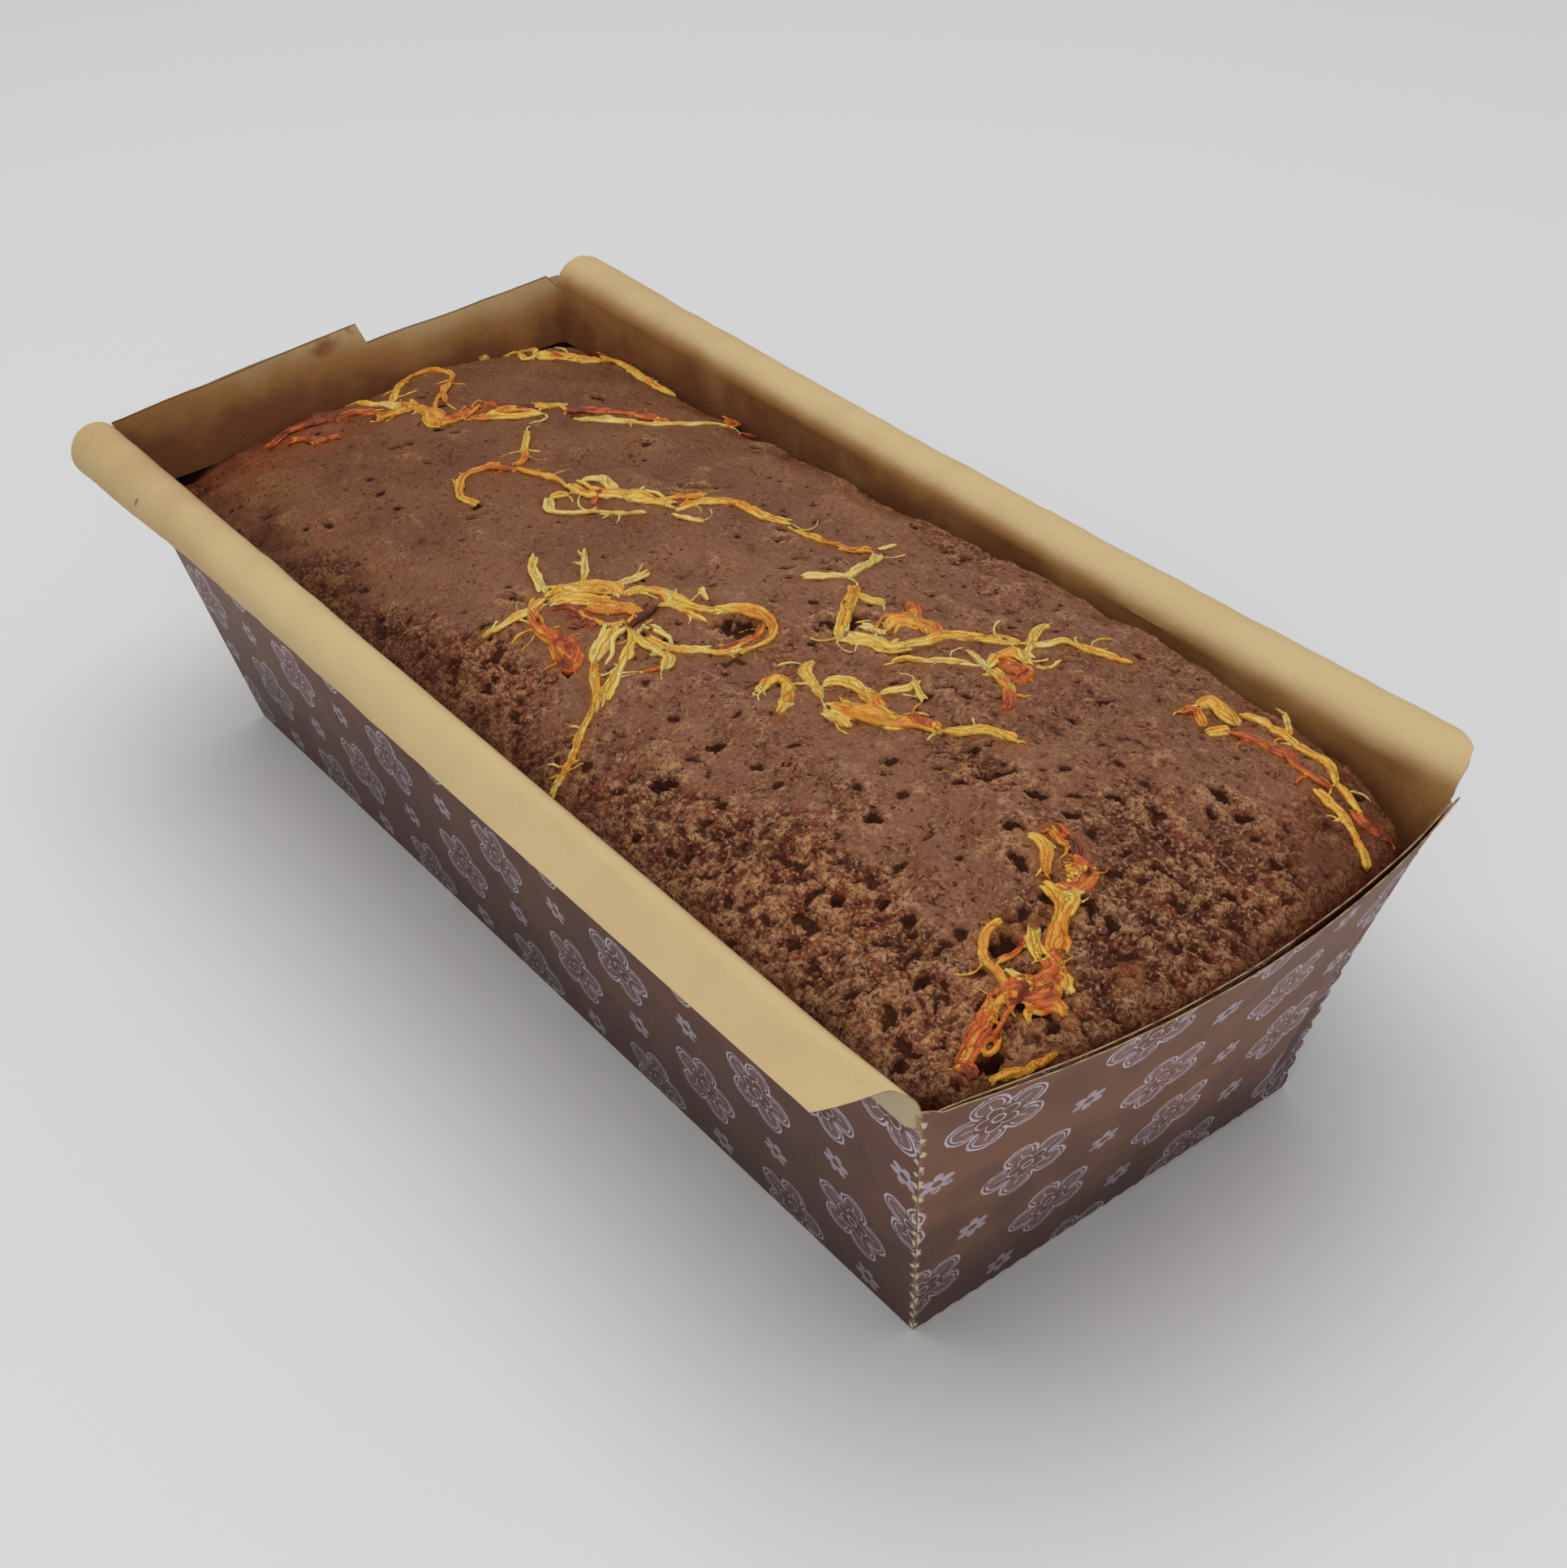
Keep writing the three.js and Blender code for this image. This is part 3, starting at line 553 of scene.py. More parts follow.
def crust_crumb(x, y, relief):
    """Fine relief of skin and crumb, and how open the crumb is."""
    rough = roughness_at(x, y)
    warp_x = x + 0.9 * noise(x / 2.3 + 3, y / 2.4)
    warp_y = y + 0.9 * noise(x / 2.4, y / 2.2 + 5)
    lumps = 0.26 * noise(x / 4.6 + 8, y / 4.0 + 6) + 0.26 * noise(warp_x / 2.1, warp_y / 1.9 + 3)
    lumps += 0.58 * noise(warp_x / 1.0 + 2, warp_y / 0.9)
    folds = 1 - np.abs(noise(warp_x / 2.6 + 13, warp_y / 2.3 + 1)) * 3
    sieve = 0.55 * noise(warp_x / 1.5 + 21, warp_y / 1.2)
    sieve += 0.45 * noise(warp_x / 0.85, warp_y / 0.8 + 9)
    pores = smooth_ramp((sieve - (0.60 - 0.36 * rough)) / 0.12)
    height = rough * relief * (0.5 * lumps - 0.26 * np.clip(folds, 0, 1))
    skin = 0.2 * noise(x / 4.1, y / 3.3) + 0.15 * noise(warp_x / 1.4 + 5, warp_y / 1.2)
    height += (1 - rough) * skin
    height -= pores * (0.25 + 0.55 * rough) * relief * 0.58
    return height, rough


def dig(height, x, y, centre_x, centre_y, half_length, half_width, turn, depth, lip):
    """Cuts a steep-sided hollow with a raised lip into a height field, in place."""
    reach = 2.2 * half_length
    near = (np.abs(x - centre_x) < reach) & (np.abs(y - centre_y) < reach)
    dx, dy = x[near] - centre_x, y[near] - centre_y
    c, s = math.cos(math.radians(turn)), math.sin(math.radians(turn))
    wobble = 1 + 0.45 * noise(x[near] / 1.1 + centre_x, y[near] / 1.1 + centre_y)
    wobble += 0.3 * noise(x[near] / 0.6, y[near] / 0.6 + centre_y)
    d = np.hypot((dx * c + dy * s) / half_length, (dy * c - dx * s) / half_width) / wobble
    height[near] += lip * np.exp(-((d - 1.3) / 0.3) ** 2) - depth * np.exp(-d ** 6)


def blurred(field, reach):
    """Mean of a field over a square of 2 * reach + 1 cells."""
    for axis in (0, 1):
        pad = [(reach + 1, reach) if a == axis else (0, 0) for a in (0, 1)]
        total = np.cumsum(np.pad(field, pad, mode="edge"), axis=axis)
        size = 2 * reach + 1
        high = np.take(total, range(size, total.shape[axis]), axis=axis)
        low = np.take(total, range(0, total.shape[axis] - size), axis=axis)
        field = (high - low) / size
    return field


def nearest_of(points):
    """A tree that finds the nearest of the points."""
    tree = KDTree(len(points))
    for k, point in enumerate(points):
        tree.insert(point, k)
    tree.balance()
    return tree


def set_mode(mode):
    bpy.ops.object.mode_set(mode=mode)


def only(obj):
    """Makes obj the one selected and active object, in object mode."""
    if bpy.context.object and bpy.context.object.mode != "OBJECT":
        set_mode("OBJECT")
    bpy.ops.object.select_all(action="DESELECT")
    if obj:
        obj.select_set(True)
        bpy.context.view_layer.objects.active = obj


def points_of(mesh):
    co = np.empty(len(mesh.vertices) * 3)
    mesh.vertices.foreach_get("co", co)
    return co.reshape(-1, 3)


def set_points(mesh, points):
    mesh.vertices.foreach_set("co", np.asarray(points, float).ravel())
    mesh.update()


def set_attributes(mesh, **fields):
    """Numbers of the vertices, each field an array or one value for all."""
    for name, values in fields.items():
        attribute = mesh.attributes.new(name, "FLOAT", "POINT")
        attribute.data.foreach_set("value", np.zeros(len(mesh.vertices)) + values)


def select_points(mesh, mask):
    """Selects the masked vertices and the edges and faces that they make up."""
    mesh.vertices.foreach_set("select", mask)
    ends = np.empty(len(mesh.edges) * 2, int)
    mesh.edges.foreach_get("vertices", ends)
    mesh.edges.foreach_set("select", mask[ends.reshape(-1, 2)].all(axis=1))
    mesh.polygons.foreach_set("select", [bool(mask[list(p.vertices)].all()) for p in mesh.polygons])


def new_grid(name, columns, rows):
    """A grid from -1 to 1 both ways, the one selected object."""
    only(None)
    bpy.ops.mesh.primitive_grid_add(x_subdivisions=columns, y_subdivisions=rows, size=2)
    obj = bpy.context.object
    obj.name = name
    obj.data.name = name
    return obj


def select_open_edges(obj):
    """Turns to edit mode with the open edges of a mesh selected."""
    only(obj)
    set_mode("EDIT")
    bpy.ops.mesh.select_mode(type="EDGE")
    bpy.ops.mesh.select_all(action="DESELECT")
    bpy.ops.mesh.select_non_manifold()


def extrude(step, times):
    """Extrudes what is selected in edit mode by a step, a number of times."""
    for _ in range(times):
        bpy.ops.mesh.extrude_region_move(TRANSFORM_OT_translate={"value": step})


def apply_modifier(obj, kind, **settings):
    only(obj)
    bpy.ops.object.modifier_add(type=kind)
    modifier = obj.modifiers[-1]
    for key, value in settings.items():
        setattr(modifier, key, value)
    bpy.ops.object.modifier_apply(modifier=modifier.name)


def thicken(obj, materials):
    """Gives a sheet its thickness on the side away from its faces, with its three materials."""
    for material in materials:
        obj.data.materials.append(material)
    apply_modifier(obj, "SOLIDIFY", thickness=SHEET * MM, offset=-1, use_even_offset=False,
                   material_offset=1, material_offset_rim=2)


def smooth_shaded(obj, degrees):
    only(obj)
    bpy.ops.object.shade_smooth_by_angle(angle=math.radians(degrees))


def place(obj, materials, node):
    """Gives a finished piece its materials and its place in the frame."""
    for material in materials:
        obj.data.materials.append(material)
    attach(obj, "root")
    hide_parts(node)


class Value:
    """A number in a shader, for use in Python expressions."""

    def __init__(self, graph, socket):
        self.graph = graph
        self.socket = socket

    def math(self, operation, *others):
        inputs = dict(enumerate((self, *others)))
        return self.graph.node("ShaderNodeMath", {"operation": operation}, inputs)

    def __add__(self, other):
        return self.math("ADD", other)

    __radd__ = __add__

    def __sub__(self, other):
        return self.math("SUBTRACT", other)

    def __rsub__(self, other):
        return self.graph.node("ShaderNodeMath", {"operation": "SUBTRACT"}, {0: other, 1: self})

    def __mul__(self, other):
        return self.math("MULTIPLY", other)

    __rmul__ = __mul__

    def __pow__(self, other):
        return self.math("POWER", other)

    def __mod__(self, other):
        return self.math("FLOORED_MODULO", other)

    def __abs__(self):
        return self.math("ABSOLUTE")

    def __neg__(self):
        return self.math("MULTIPLY", -1)

    def cos(self):
        return self.math("COSINE")

    def sin(self):
        return self.math("SINE")

    def most(self, other):
        return self.math("MAXIMUM", other)

    def ramp(self, low, high):
        """0 at low and 1 at high, smooth between."""
        settings = {"interpolation_type": "SMOOTHSTEP"}
        return self.graph.node("ShaderNodeMapRange", settings, {0: self, 1: low, 2: high, 3: 0, 4: 1})


class Graph:
    """A material's nodes, built from expressions."""

    def __init__(self, name):
        self.material = bpy.data.materials.new(name)
        self.material.use_nodes = True
        self.tree = self.material.node_tree
        self.shader = self.tree.nodes["Principled BSDF"]

    def node(self, kind, settings=None, inputs=None, output=0):
        """Adds any node: its type, its settings, then the values or links of its inputs."""
        node = self.tree.nodes.new(kind)
        for key, value in (settings or {}).items():
            setattr(node, key, value)
        for key, value in (inputs or {}).items():
            self.feed(node.inputs[key], value)
        return Value(self, node.outputs[output])

    def feed(self, socket, value):
        if isinstance(value, Value):
            self.tree.links.new(value.socket, socket)
        elif hasattr(value, "__len__") and socket.type == "RGBA" and len(value) == 3:
            socket.default_value = (*value, 1)
        else:
            socket.default_value = value

    def set(self, **inputs):
        for key, value in inputs.items():
            self.feed(self.shader.inputs[key.replace("_", " ")], value)

    def place(self):
        """Object coordinates in millimetres."""
        point = self.node("ShaderNodeTexCoord", output=3)
        return self.node("ShaderNodeVectorMath", {"operation": "SCALE"}, {0: point, 3: 1000.0})

    def attribute(self, name):
        return self.node("ShaderNodeAttribute", {"attribute_name": name}, output=2)

    def uv(self, name):
        point = self.node("ShaderNodeUVMap", {"uv_map": name})
        return self.split(point)[:2]

    def split(self, vector):
        node = self.tree.nodes.new("ShaderNodeSeparateXYZ")
        self.feed(node.inputs[0], vector)
        return [Value(self, out) for out in node.outputs]

    def noise(self, vector, size, detail=2.0, roughness=0.5):
        """Noise from 0 to 1 whose features are about size millimetres."""
        inputs = {"Vector": vector, "Scale": 1 / size, "Detail": detail, "Roughness": roughness}
        return self.node("ShaderNodeTexNoise", None, inputs)

    def cells(self, vector, size):
        """Distance to the nearest of scattered points that stand about size millimetres apart."""
        return self.node("ShaderNodeTexVoronoi", None, {"Vector": vector, "Scale": 1 / size})

    def bent(self, vector, size, amount):
        """Coordinates pushed about by noise, so that what is drawn in them isn't regular."""
        inputs = {"Vector": vector, "Scale": 1 / size, "Detail": 2.0}
        push = self.node("ShaderNodeTexNoise", None, inputs, 1)
        inputs = {0: push, 1: (amount, amount, amount), 2: vector}
        return self.node("ShaderNodeVectorMath", {"operation": "MULTIPLY_ADD"}, inputs)

    def mix(self, a, b, factor, blend="MIX"):
        settings = {"data_type": "RGBA", "blend_type": blend}
        return self.node("ShaderNodeMix", settings, {0: factor, 6: a, 7: b}, 2)

    def layers(self, tone, *layers):
        """A tone with others mixed over it one by one, each by its own share."""
        for shade, share in layers:
            tone = self.mix(tone, shade, share)
        return tone

    def bump(self, height, distance):
        inputs = {"Height": height, "Distance": distance * MM, "Strength": 1.0}
        return self.node("ShaderNodeBump", None, inputs)


def crust_material(loaf):
    """Skin with fine specks and pores, and open crumb of gold grains; painted shade in its gaps and
    hollows, partly painted highlight on its grains.
    """
    g = Graph("baked_crust")
    p = g.place()
    rough, hollow, warm, wall, far, under = map(g.attribute, CRUST_FIELDS)
    broad = g.noise(p, 15, 3)
    patch = g.noise(p, 5.0, 3, 0.6)
    middle = g.noise(p, 1.9, 4, 0.7)
    fine = g.noise(p, 0.7, 4, 0.75)
    bent = g.bent(p, 1.5, 1.6)
    spark = g.noise(bent, 0.4, 2, 0.7)
    speck = g.noise(p, 0.62, 2, 0.6)
    crumbs = (1 - g.cells(bent, 2.2)) * 0.32 + (1 - g.cells(bent, 1.1)) * 0.32
    crumbs = crumbs + fine * 0.44 + spark * 0.1
    opened = (rough + (patch - 0.5) * 1.3).ramp(0.12, 0.85)
    pores = g.noise(bent, 0.9, 2).ramp(0.63, 0.70) * (patch + rough * 0.25).ramp(0.40, 0.62)
    wet = g.noise(p, 3.1, 3)
    # Gold on the tops of raised grains, partly painted highlight
    gold_and_highlight_mask = crumbs.ramp(0.60, 0.78) * (middle * 1.3).ramp(0.45, 0.80) * (1 - wet).ramp(0.30, 0.56)
    skin = g.layers(
        loaf.skin,
        (loaf.skin_dark, (broad * 0.45 + middle * 0.55).ramp(0.40, 0.60)),
        (SKIN_PINK, (1 - patch).ramp(0.46, 0.60) * 0.45),
        (SKIN_LIGHT, (fine * 0.6 + middle * 0.4).ramp(0.53, 0.64) * 0.6),
        (SKIN_SPOT, (1 - fine * 0.55 - middle * 0.45).ramp(0.54, 0.64) * 0.7),
    )
    crumb = g.layers(
        loaf.crumb,
        (CRUMB_PINK, patch.ramp(0.5, 0.62) * 0.55),
        (CRUMB_OCHRE, (1 - patch).ramp(0.52, 0.64) * 0.5),
        (CRUMB_WET, wet.ramp(0.42, 0.60) * 0.85),
        (loaf.crumb_gold_and_highlight, gold_and_highlight_mask),
        # Painted shade darkens the gaps between the grains
        (CRUMB_GAP_SHADE, (1 - crumbs).ramp(0.40, 0.56) * (0.5 + patch * 0.8)),
        (CRUMB_SHADE, (1 - broad).ramp(0.42, 0.62) * 0.6),
    )
    tone = g.layers(
        g.mix(skin, crumb, opened),
        # Pale specks, partly painted glints
        (LIGHT_SPECK_AND_GLINT, speck.ramp(0.54, 0.66) * (0.12 + opened * 0.43)),
        (DARK_SPECK, (1 - speck).ramp(0.54, 0.66) * (0.12 + opened * 0.48)),
        # Gold on the raised lips round hollows, partly painted highlight
        (loaf.crumb_gold_and_highlight, (-hollow).ramp(0.08, 0.5) * fine.ramp(0.4, 0.6) * 0.6),
        (WARM_EDGE, warm * (middle * 1.4).ramp(0.4, 0.9) * 0.6),
        (SYRUP, under * (0.2 + middle * 0.7)),
        # Painted shade in the hollows beside the shreds
        (SHRED_CONTACT_SHADE, under * (hollow + middle - 0.25).ramp(0.2, 0.6) * 0.6),
        # Painted shade at the bottom of hollows and in the pores
        (loaf.hollow, (hollow + (fine - 0.5) * 0.7).ramp(0.14, 0.5) * 0.92),
        (loaf.hollow, pores * 0.85),
        (WALL_SHADE, wall * 0.75),
    )
    height = (middle * 0.45 + fine * 0.4) * (1 - opened)
    height = height + (crumbs + spark * 0.1 + speck * 0.3) * opened - pores * 0.35
    g.set(Base_Color=g.mix(tone, FAR_TINT, far, "MULTIPLY"), Specular_IOR_Level=0.2,
          Roughness=0.30 + fine * 0.24 + hollow.ramp(0.1, 0.5) * 0.36, Normal=g.bump(height, 1.0))
    return g.material


def shred_material():
    """Pale yellow fibres with orange stains, streaked along each fibre; the pale streaks are partly
    painted highlight.
    """
    g = Graph("baked_shreds")
    p = g.place()
    grain = g.noise(p, 2.0, 3, 0.6)
    broad = g.noise(p, 4.5, 2)
    grown = {0: g.attribute("lane") * 1.8, 1: g.attribute("along") * 0.25, 2: broad}
    fibre = g.noise(g.node("ShaderNodeCombineXYZ", None, grown), 1.0, 3, 0.55)
    roast = g.attribute("roast") + (grain - 0.5) * 0.55 + (broad - 0.5) * 0.6 + (fibre - 0.5) * 0.35
    tone = g.layers(
        linear(*ROAST[0][1]),
        *[(linear(*shade), roast.ramp(low, high)) for (low, _), (high, shade) in zip(ROAST, ROAST[1:])],
        (FIBRE_DARK, fibre.ramp(0.55, 0.70) * 0.4),
        # Pale streaks on less roasted places, partly painted highlight
        (FIBRE_PALE_HIGHLIGHT, (1 - fibre).ramp(0.55, 0.70) * (1 - roast).ramp(0.5, 0.85) * 0.4),
    )
    g.set(Base_Color=tone, Roughness=0.32 + grain * 0.2, Normal=g.bump(fibre * 0.9 + grain * 0.8, 0.4))
    g.set(Subsurface_Weight=0.2, Subsurface_Scale=0.0014, Subsurface_Radius=(1.0, 0.6, 0.2))
    return g.material


def kraft_material(loaf):
    """The unprinted side: clean on the rims, darker near the cake, partly a soaked stain and partly
    painted shade, and with a few stains.
    """
    g = Graph("kraft_inside")
    p = g.place()
    fibre = g.noise(p, 0.9, 4, 0.6)
    cloud = g.noise(p, 9, 3)
    # Darker towards the cake: a grease stain and painted shade at once
    soak = g.attribute("soak") * (0.55 + cloud * 0.9)
    bent = g.split(g.bent(p, 2.2, STAIN_BEND))
    stains = []
    for *spot, reach in STAINS:
        x, y, z = [axis - at - STAIN_BEND / 2 for axis, at in zip(bent, spot)]
        gap = (x ** 2 + y ** 2 + (z * 1.9) ** 2) ** 0.5
        stains.append((KRAFT_STAIN, (1 - gap.ramp(reach * 0.1, reach)) * 0.75))
    tone = g.layers(
        loaf.kraft,
        (KRAFT_CLOUD, cloud.ramp(0.35, 0.7) * 0.4),
        (loaf.kraft_stained_and_shaded, soak.ramp(0.0, 0.75)),
        (KRAFT_SOAKED_AND_SHADED, soak.ramp(0.62, 1.3) * 0.9),
        *stains,
        (KRAFT_FIBRE, fibre.ramp(0.66, 0.8) * 0.25),
        # Painted shade as a thin dark line along the far wall's top edge
        (KRAFT_TOP_EDGE_SHADE, g.attribute("toasted").ramp(0.84, 0.97) * (0.35 + cloud * 0.6)),
    )
    g.set(Base_Color=tone, Roughness=0.78, Normal=g.bump(fibre + cloud, 0.12))
    return g.material


def edge_material():
    """The cut edge of the paper."""
    g = Graph("cut_paper_edge")
    tone = g.mix(EDGE_PALE, EDGE_DARK, g.noise(g.place(), 2.4, 3).ramp(0.4, 0.65))
    g.set(Base_Color=tone, Roughness=0.85)
    return g.material


def stroke(distance, half_width):
    """1 on a line and 0 off it, from the distance to the line."""
    return 1 - abs(distance).ramp(half_width * 0.55, half_width * 1.35)


def lobed(angle, lobes, radius, depth):
    """Radius of a scalloped outline in a direction."""
    return radius + depth * abs((angle * (lobes / 2)).cos()) ** 0.7


def printed_material(loaf, name, lighting_tint, foot, slant=0.0):
    """Brown print with columns of scalloped rosettes, small blossoms between them.

    The ground is multiplied by a tint that paints the light on that face, and given painted shade
    towards the foot between two heights told from the top.
    """
    g = Graph(name)
    p = g.place()
    u, v = g.uv("print")
    column, row = loaf.motif_column, loaf.motif_row

    def polar(shift_u, shift_v):
        a = (u + shift_u + column) % (2 * column) - column
        b = (v + shift_v + row / 2) % row - row / 2
        return (a * a + b * b) ** 0.5, g.node("ShaderNodeMath", {"operation": "ARCTAN2"}, {0: b, 1: a})

    wear = g.noise(p, 1.3, 3)
    ink = 0.0
    for shift in ((0, 0), (column, row / 2)):
        radius, angle = polar(*shift)
        across = (angle + math.pi * 0.2) % (math.pi * 0.4) - math.pi * 0.2
        outward, aside = across.cos() * radius, across.sin() * radius
        petal = ((outward - 4.5) ** 2 + aside ** 2) ** 0.5 + (wear - 0.5) * 0.8
        lines = stroke(petal - 2.6, 0.2) * outward.ramp(2.6, 2.9)
        lines = lines.most(stroke(petal - 1.9, 0.14) * outward.ramp(3.2, 3.5))
        lines = lines.most(stroke(radius - lobed(angle, 5, 1.6, 1.5) - (wear - 0.5) * 0.4, 0.16))
        lines = lines.most(stroke(aside, 0.11) * outward.ramp(3.3, 3.5) * (1 - outward.ramp(4.9, 5.3)))
        lines = lines.most(stroke(radius - 0.9, 0.16))
        lines = lines.most((1 - petal.ramp(1.7, 1.9)) * outward.ramp(3.2, 3.5) * 0.12)
        ink = lines.most(ink)
    for shift in ((0, row / 2), (column, 0)):
        radius, angle = polar(*shift)
        petals = lobed(angle, 6, 1.1, 1.5) - radius
        ink = ink.most(petals.ramp(-0.12, 0.12) * (radius - 0.75).ramp(-0.1, 0.15) * 0.7)
    cloud = g.noise(p, 12, 3)
    x, y, _ = g.split(p)
    # Painted shade towards the foot, on the ends reaching further towards -Y
    low = (1 - g.attribute("height") + (cloud - 0.5) * 0.4 - y * slant).ramp(*foot)
    ground = g.mix(loaf.printed, PRINT_CLOUD, cloud.ramp(0.3, 0.7))
    ground = g.layers(
        # Tint of painted light or painted shade, as the face takes it
        g.mix(ground, lighting_tint, 1.0, "MULTIPLY"),
        (PRINT_GRAIN, g.noise(p, 0.6, 3).ramp(0.6, 0.8) * 0.25),
        (PRINT_FAR, (-x).ramp(10, 120) * 0.6),
        (PRINT_FOOT_SHADE, low * 0.84),
    )
    crease, bare = g.attribute("crease"), g.attribute("bare")
    dots = (v + wear * 1.5) % 3.3 - 1.65
    torn = g.noise(p, 0.9, 3) - 0.5
    perforation = 1 - (crease + torn * 1.6).ramp(0.3, 0.8)
    perforation = perforation * (1 - (abs(dots) + torn * 2.4).ramp(0.3, 0.8)) * 0.9
    rub = (1 - crease.ramp(0.0, 0.45)) * 0.3
    tone = g.layers(
        ground,
        (loaf.motif, ink * wear.ramp(0.2, 0.5) * (1 - low * 0.55)),
        (TORN_PAPER, perforation.most(rub * wear.ramp(0.4, 0.6))),
        (BARE_PAPER, bare.ramp(0.46, 0.54)),
        (BARE_STAIN, bare.ramp(0.4, 0.6) * (1 - (crease + torn * 1.2).ramp(0.7, 1.5)) * 0.85),
    )
    g.set(Base_Color=tone, Roughness=0.5 + wear * 0.12, Specular_IOR_Level=0.35,
          Normal=g.bump(cloud + wear * 0.4, 0.15))
    return g.material


def corner_pull(z):
    """How far the near right corner is drawn in at a height."""
    return CORNER_PULL * np.sin(np.pi * np.clip(z / FOLD_HEIGHT, 0, 1)) ** 0.6


def inside_case(x, y, z, gap=0.0):
    """The same place, pushed in from the walls where it would reach them."""
    length, width, bow = outside(z)
    length = length + np.where(x > 0, bow * arch(y, width), 0)
    length = length - SHEET - 0.35 - gap
    width = width - lining(z) - SIDE_GAP - gap
    x = np.clip(x, -length, length)
    y = np.clip(y, -width, width)
    pull = 1.1 * corner_pull(z) * smooth_ramp((x / length - 0.86) / 0.1)
    pull = pull * smooth_ramp((y / width - 0.82) / 0.14)
    return x - pull, y - pull


def crust_outline(u, v):
    """Places of the crust's grid inside the walls, and how far each is from the wall."""
    x, y = u * CRUST_HALF_LENGTH, v * CRUST_HALF_WIDTH
    for _ in range(5):
        wall_z = np.clip(crust_base(x, np.sign(v) * CRUST_HALF_WIDTH) - 2.0, 40, 60)
        half_width = outside(wall_z)[1] - lining(wall_z) - SIDE_GAP
        end_z = np.clip(crust_base(np.sign(u) * CRUST_HALF_LENGTH, y) - 2.0, 40, 61)
        length, width, bow = outside(end_z)
        bow = bow * arch(y, width) * (u > 0)
        half_length = length + bow - SHEET - 0.3
        x = u * half_length
        y = v * half_width
    corner = np.where(x > 0, *CRUST_CORNERS)
    dx = np.abs(x) - (half_length - corner)
    dy = np.abs(y) - (half_width - corner)
    both = (dx > 0) & (dy > 0)
    rx = dx * np.sqrt(np.maximum(1 - dy ** 2 / (2 * corner ** 2), 0))
    ry = dy * np.sqrt(np.maximum(1 - dx ** 2 / (2 * corner ** 2), 0))
    to_wall = np.minimum(-dx, -dy) + corner
    to_wall = np.where(both, corner - np.hypot(rx, ry), to_wall)
    x = np.where(both, np.sign(x) * (half_length - corner + rx), x)
    y = np.where(both, np.sign(y) * (half_width - corner + ry), y)
    return x, y, to_wall


def dig_pits(height, x, y, count):
    """Scatters small round pits in loose groups, most of them where the crumb is open."""
    rng = np.random.default_rng(PIT_SEED)
    made = 0
    while made < count:
        if made % 4 == 0 or rng.uniform() < 0.3:
            group_x, group_y = rng.uniform(-112, 118), rng.uniform(-46, 46)
        at_x, at_y = group_x + rng.normal(0, 2.2), group_y + rng.normal(0, 1.8)
        spongy = SPONGY_X[0] < at_x < SPONGY_X[1] and SPONGY_Y[0] < at_y < SPONGY_Y[1]
        open_here = roughness_at(np.array([at_x]), np.array([at_y]))[0]
        if rng.uniform() > 0.15 + 0.6 * open_here + 0.8 * spongy:
            continue
        size = (0.32 + 0.66 * rng.uniform() ** 3.0) * (1 - 0.25 * spongy)
        dig(height, x, y, at_x, at_y, size * rng.uniform(1.0, 1.6), size, rng.uniform(0, 180),
            size * rng.uniform(0.9, 1.7), PIT_LIP)
        made += 1


def under_shreds(x, y):
    """1 under the shreds and 0 beside them."""
    lines = np.vstack([through(row[3:], 0.9) for rows in SHREDS.values() for row in rows])
    tree = nearest_of(np.pad(lines, ((0, 0), (0, 1))))
    gap = [tree.find((at_x, at_y, 0))[2] for at_x, at_y in zip(x.ravel(), y.ravel())]
    return 1 - smooth_ramp((np.reshape(gap, x.shape) - 0.8) / 1.8)


def crust_grid(loaf):
    """The crust as a fine grid: its sides come from the walls and its height from the dome."""
    crust = new_grid("crust", CRUST_COLUMNS, CRUST_ROWS)
    unit = points_of(crust.data)
    order = np.lexsort((unit[:, 0], unit[:, 1]))
    u, v = unit[order, :2].T.reshape(2, CRUST_ROWS + 1, CRUST_COLUMNS + 1)
    x, y, to_wall = crust_outline(u, v)
    base = crust_base(x, y)
    crumb, rough = crust_crumb(x, y, loaf.crumb_relief)
    height = base + crumb * smooth_ramp(to_wall / 1.5)
    for hole in HOLES:
        dig(height, x, y, *hole, HOLE_LIP)
    dig_pits(height, x, y, loaf.pit_count)
    height = np.clip(height, base - 4.2, base + 1.6)
    fall = 1 - smooth_ramp(to_wall / 3.6)
    height -= fall * (2.6 + 0.8 * noise(x / 5 + 3, y / 5)) * (1 - 0.7 * smooth_ramp((-92 - x) / 16))
    x, y = inside_case(x, y, height)
    hollow = np.clip((blurred(height, 5) - height - 0.02) / 0.9, -0.6, 1.2)
    warm = smooth_ramp((-92 - x + 0.2 * y) / 14 + 0.9) * smooth_ramp((-y + 4) / 30)
    warm = warm + 0.4 * smooth_ramp((x - 92) / 18) * smooth_ramp((y - 12) / 16)
    reach = 7 + 7 * smooth_ramp(-y / 40) * smooth_ramp((60 - x) / 60)
    reach = reach + 12 * smooth_ramp((x - 88) / 18) * smooth_ramp((y - 8) / 18)
    drift = 0.16 * noise(x / 4, y / 4)
    wall = 1 - smooth_ramp(to_wall / reach + drift + 0.12 * noise(x / 1.8, y / 1.7))
    wall = np.clip(wall + np.exp(-((x - 113) ** 2 + (y + 46) ** 2) / 14), 0, 1.25)
    far = smooth_ramp((30 - x) / 110)
    points = np.empty_like(unit)
    points[order] = np.stack([x, y, height], -1).reshape(-1, 3) * MM
    set_points(crust.data, points)
    for name, field in zip(CRUST_FIELDS, (rough, hollow, warm, wall, far, under_shreds(x, y))):
        values = np.empty(len(unit))
        values[order] = field.ravel()
        set_attributes(crust.data, **{name: values})
    return crust


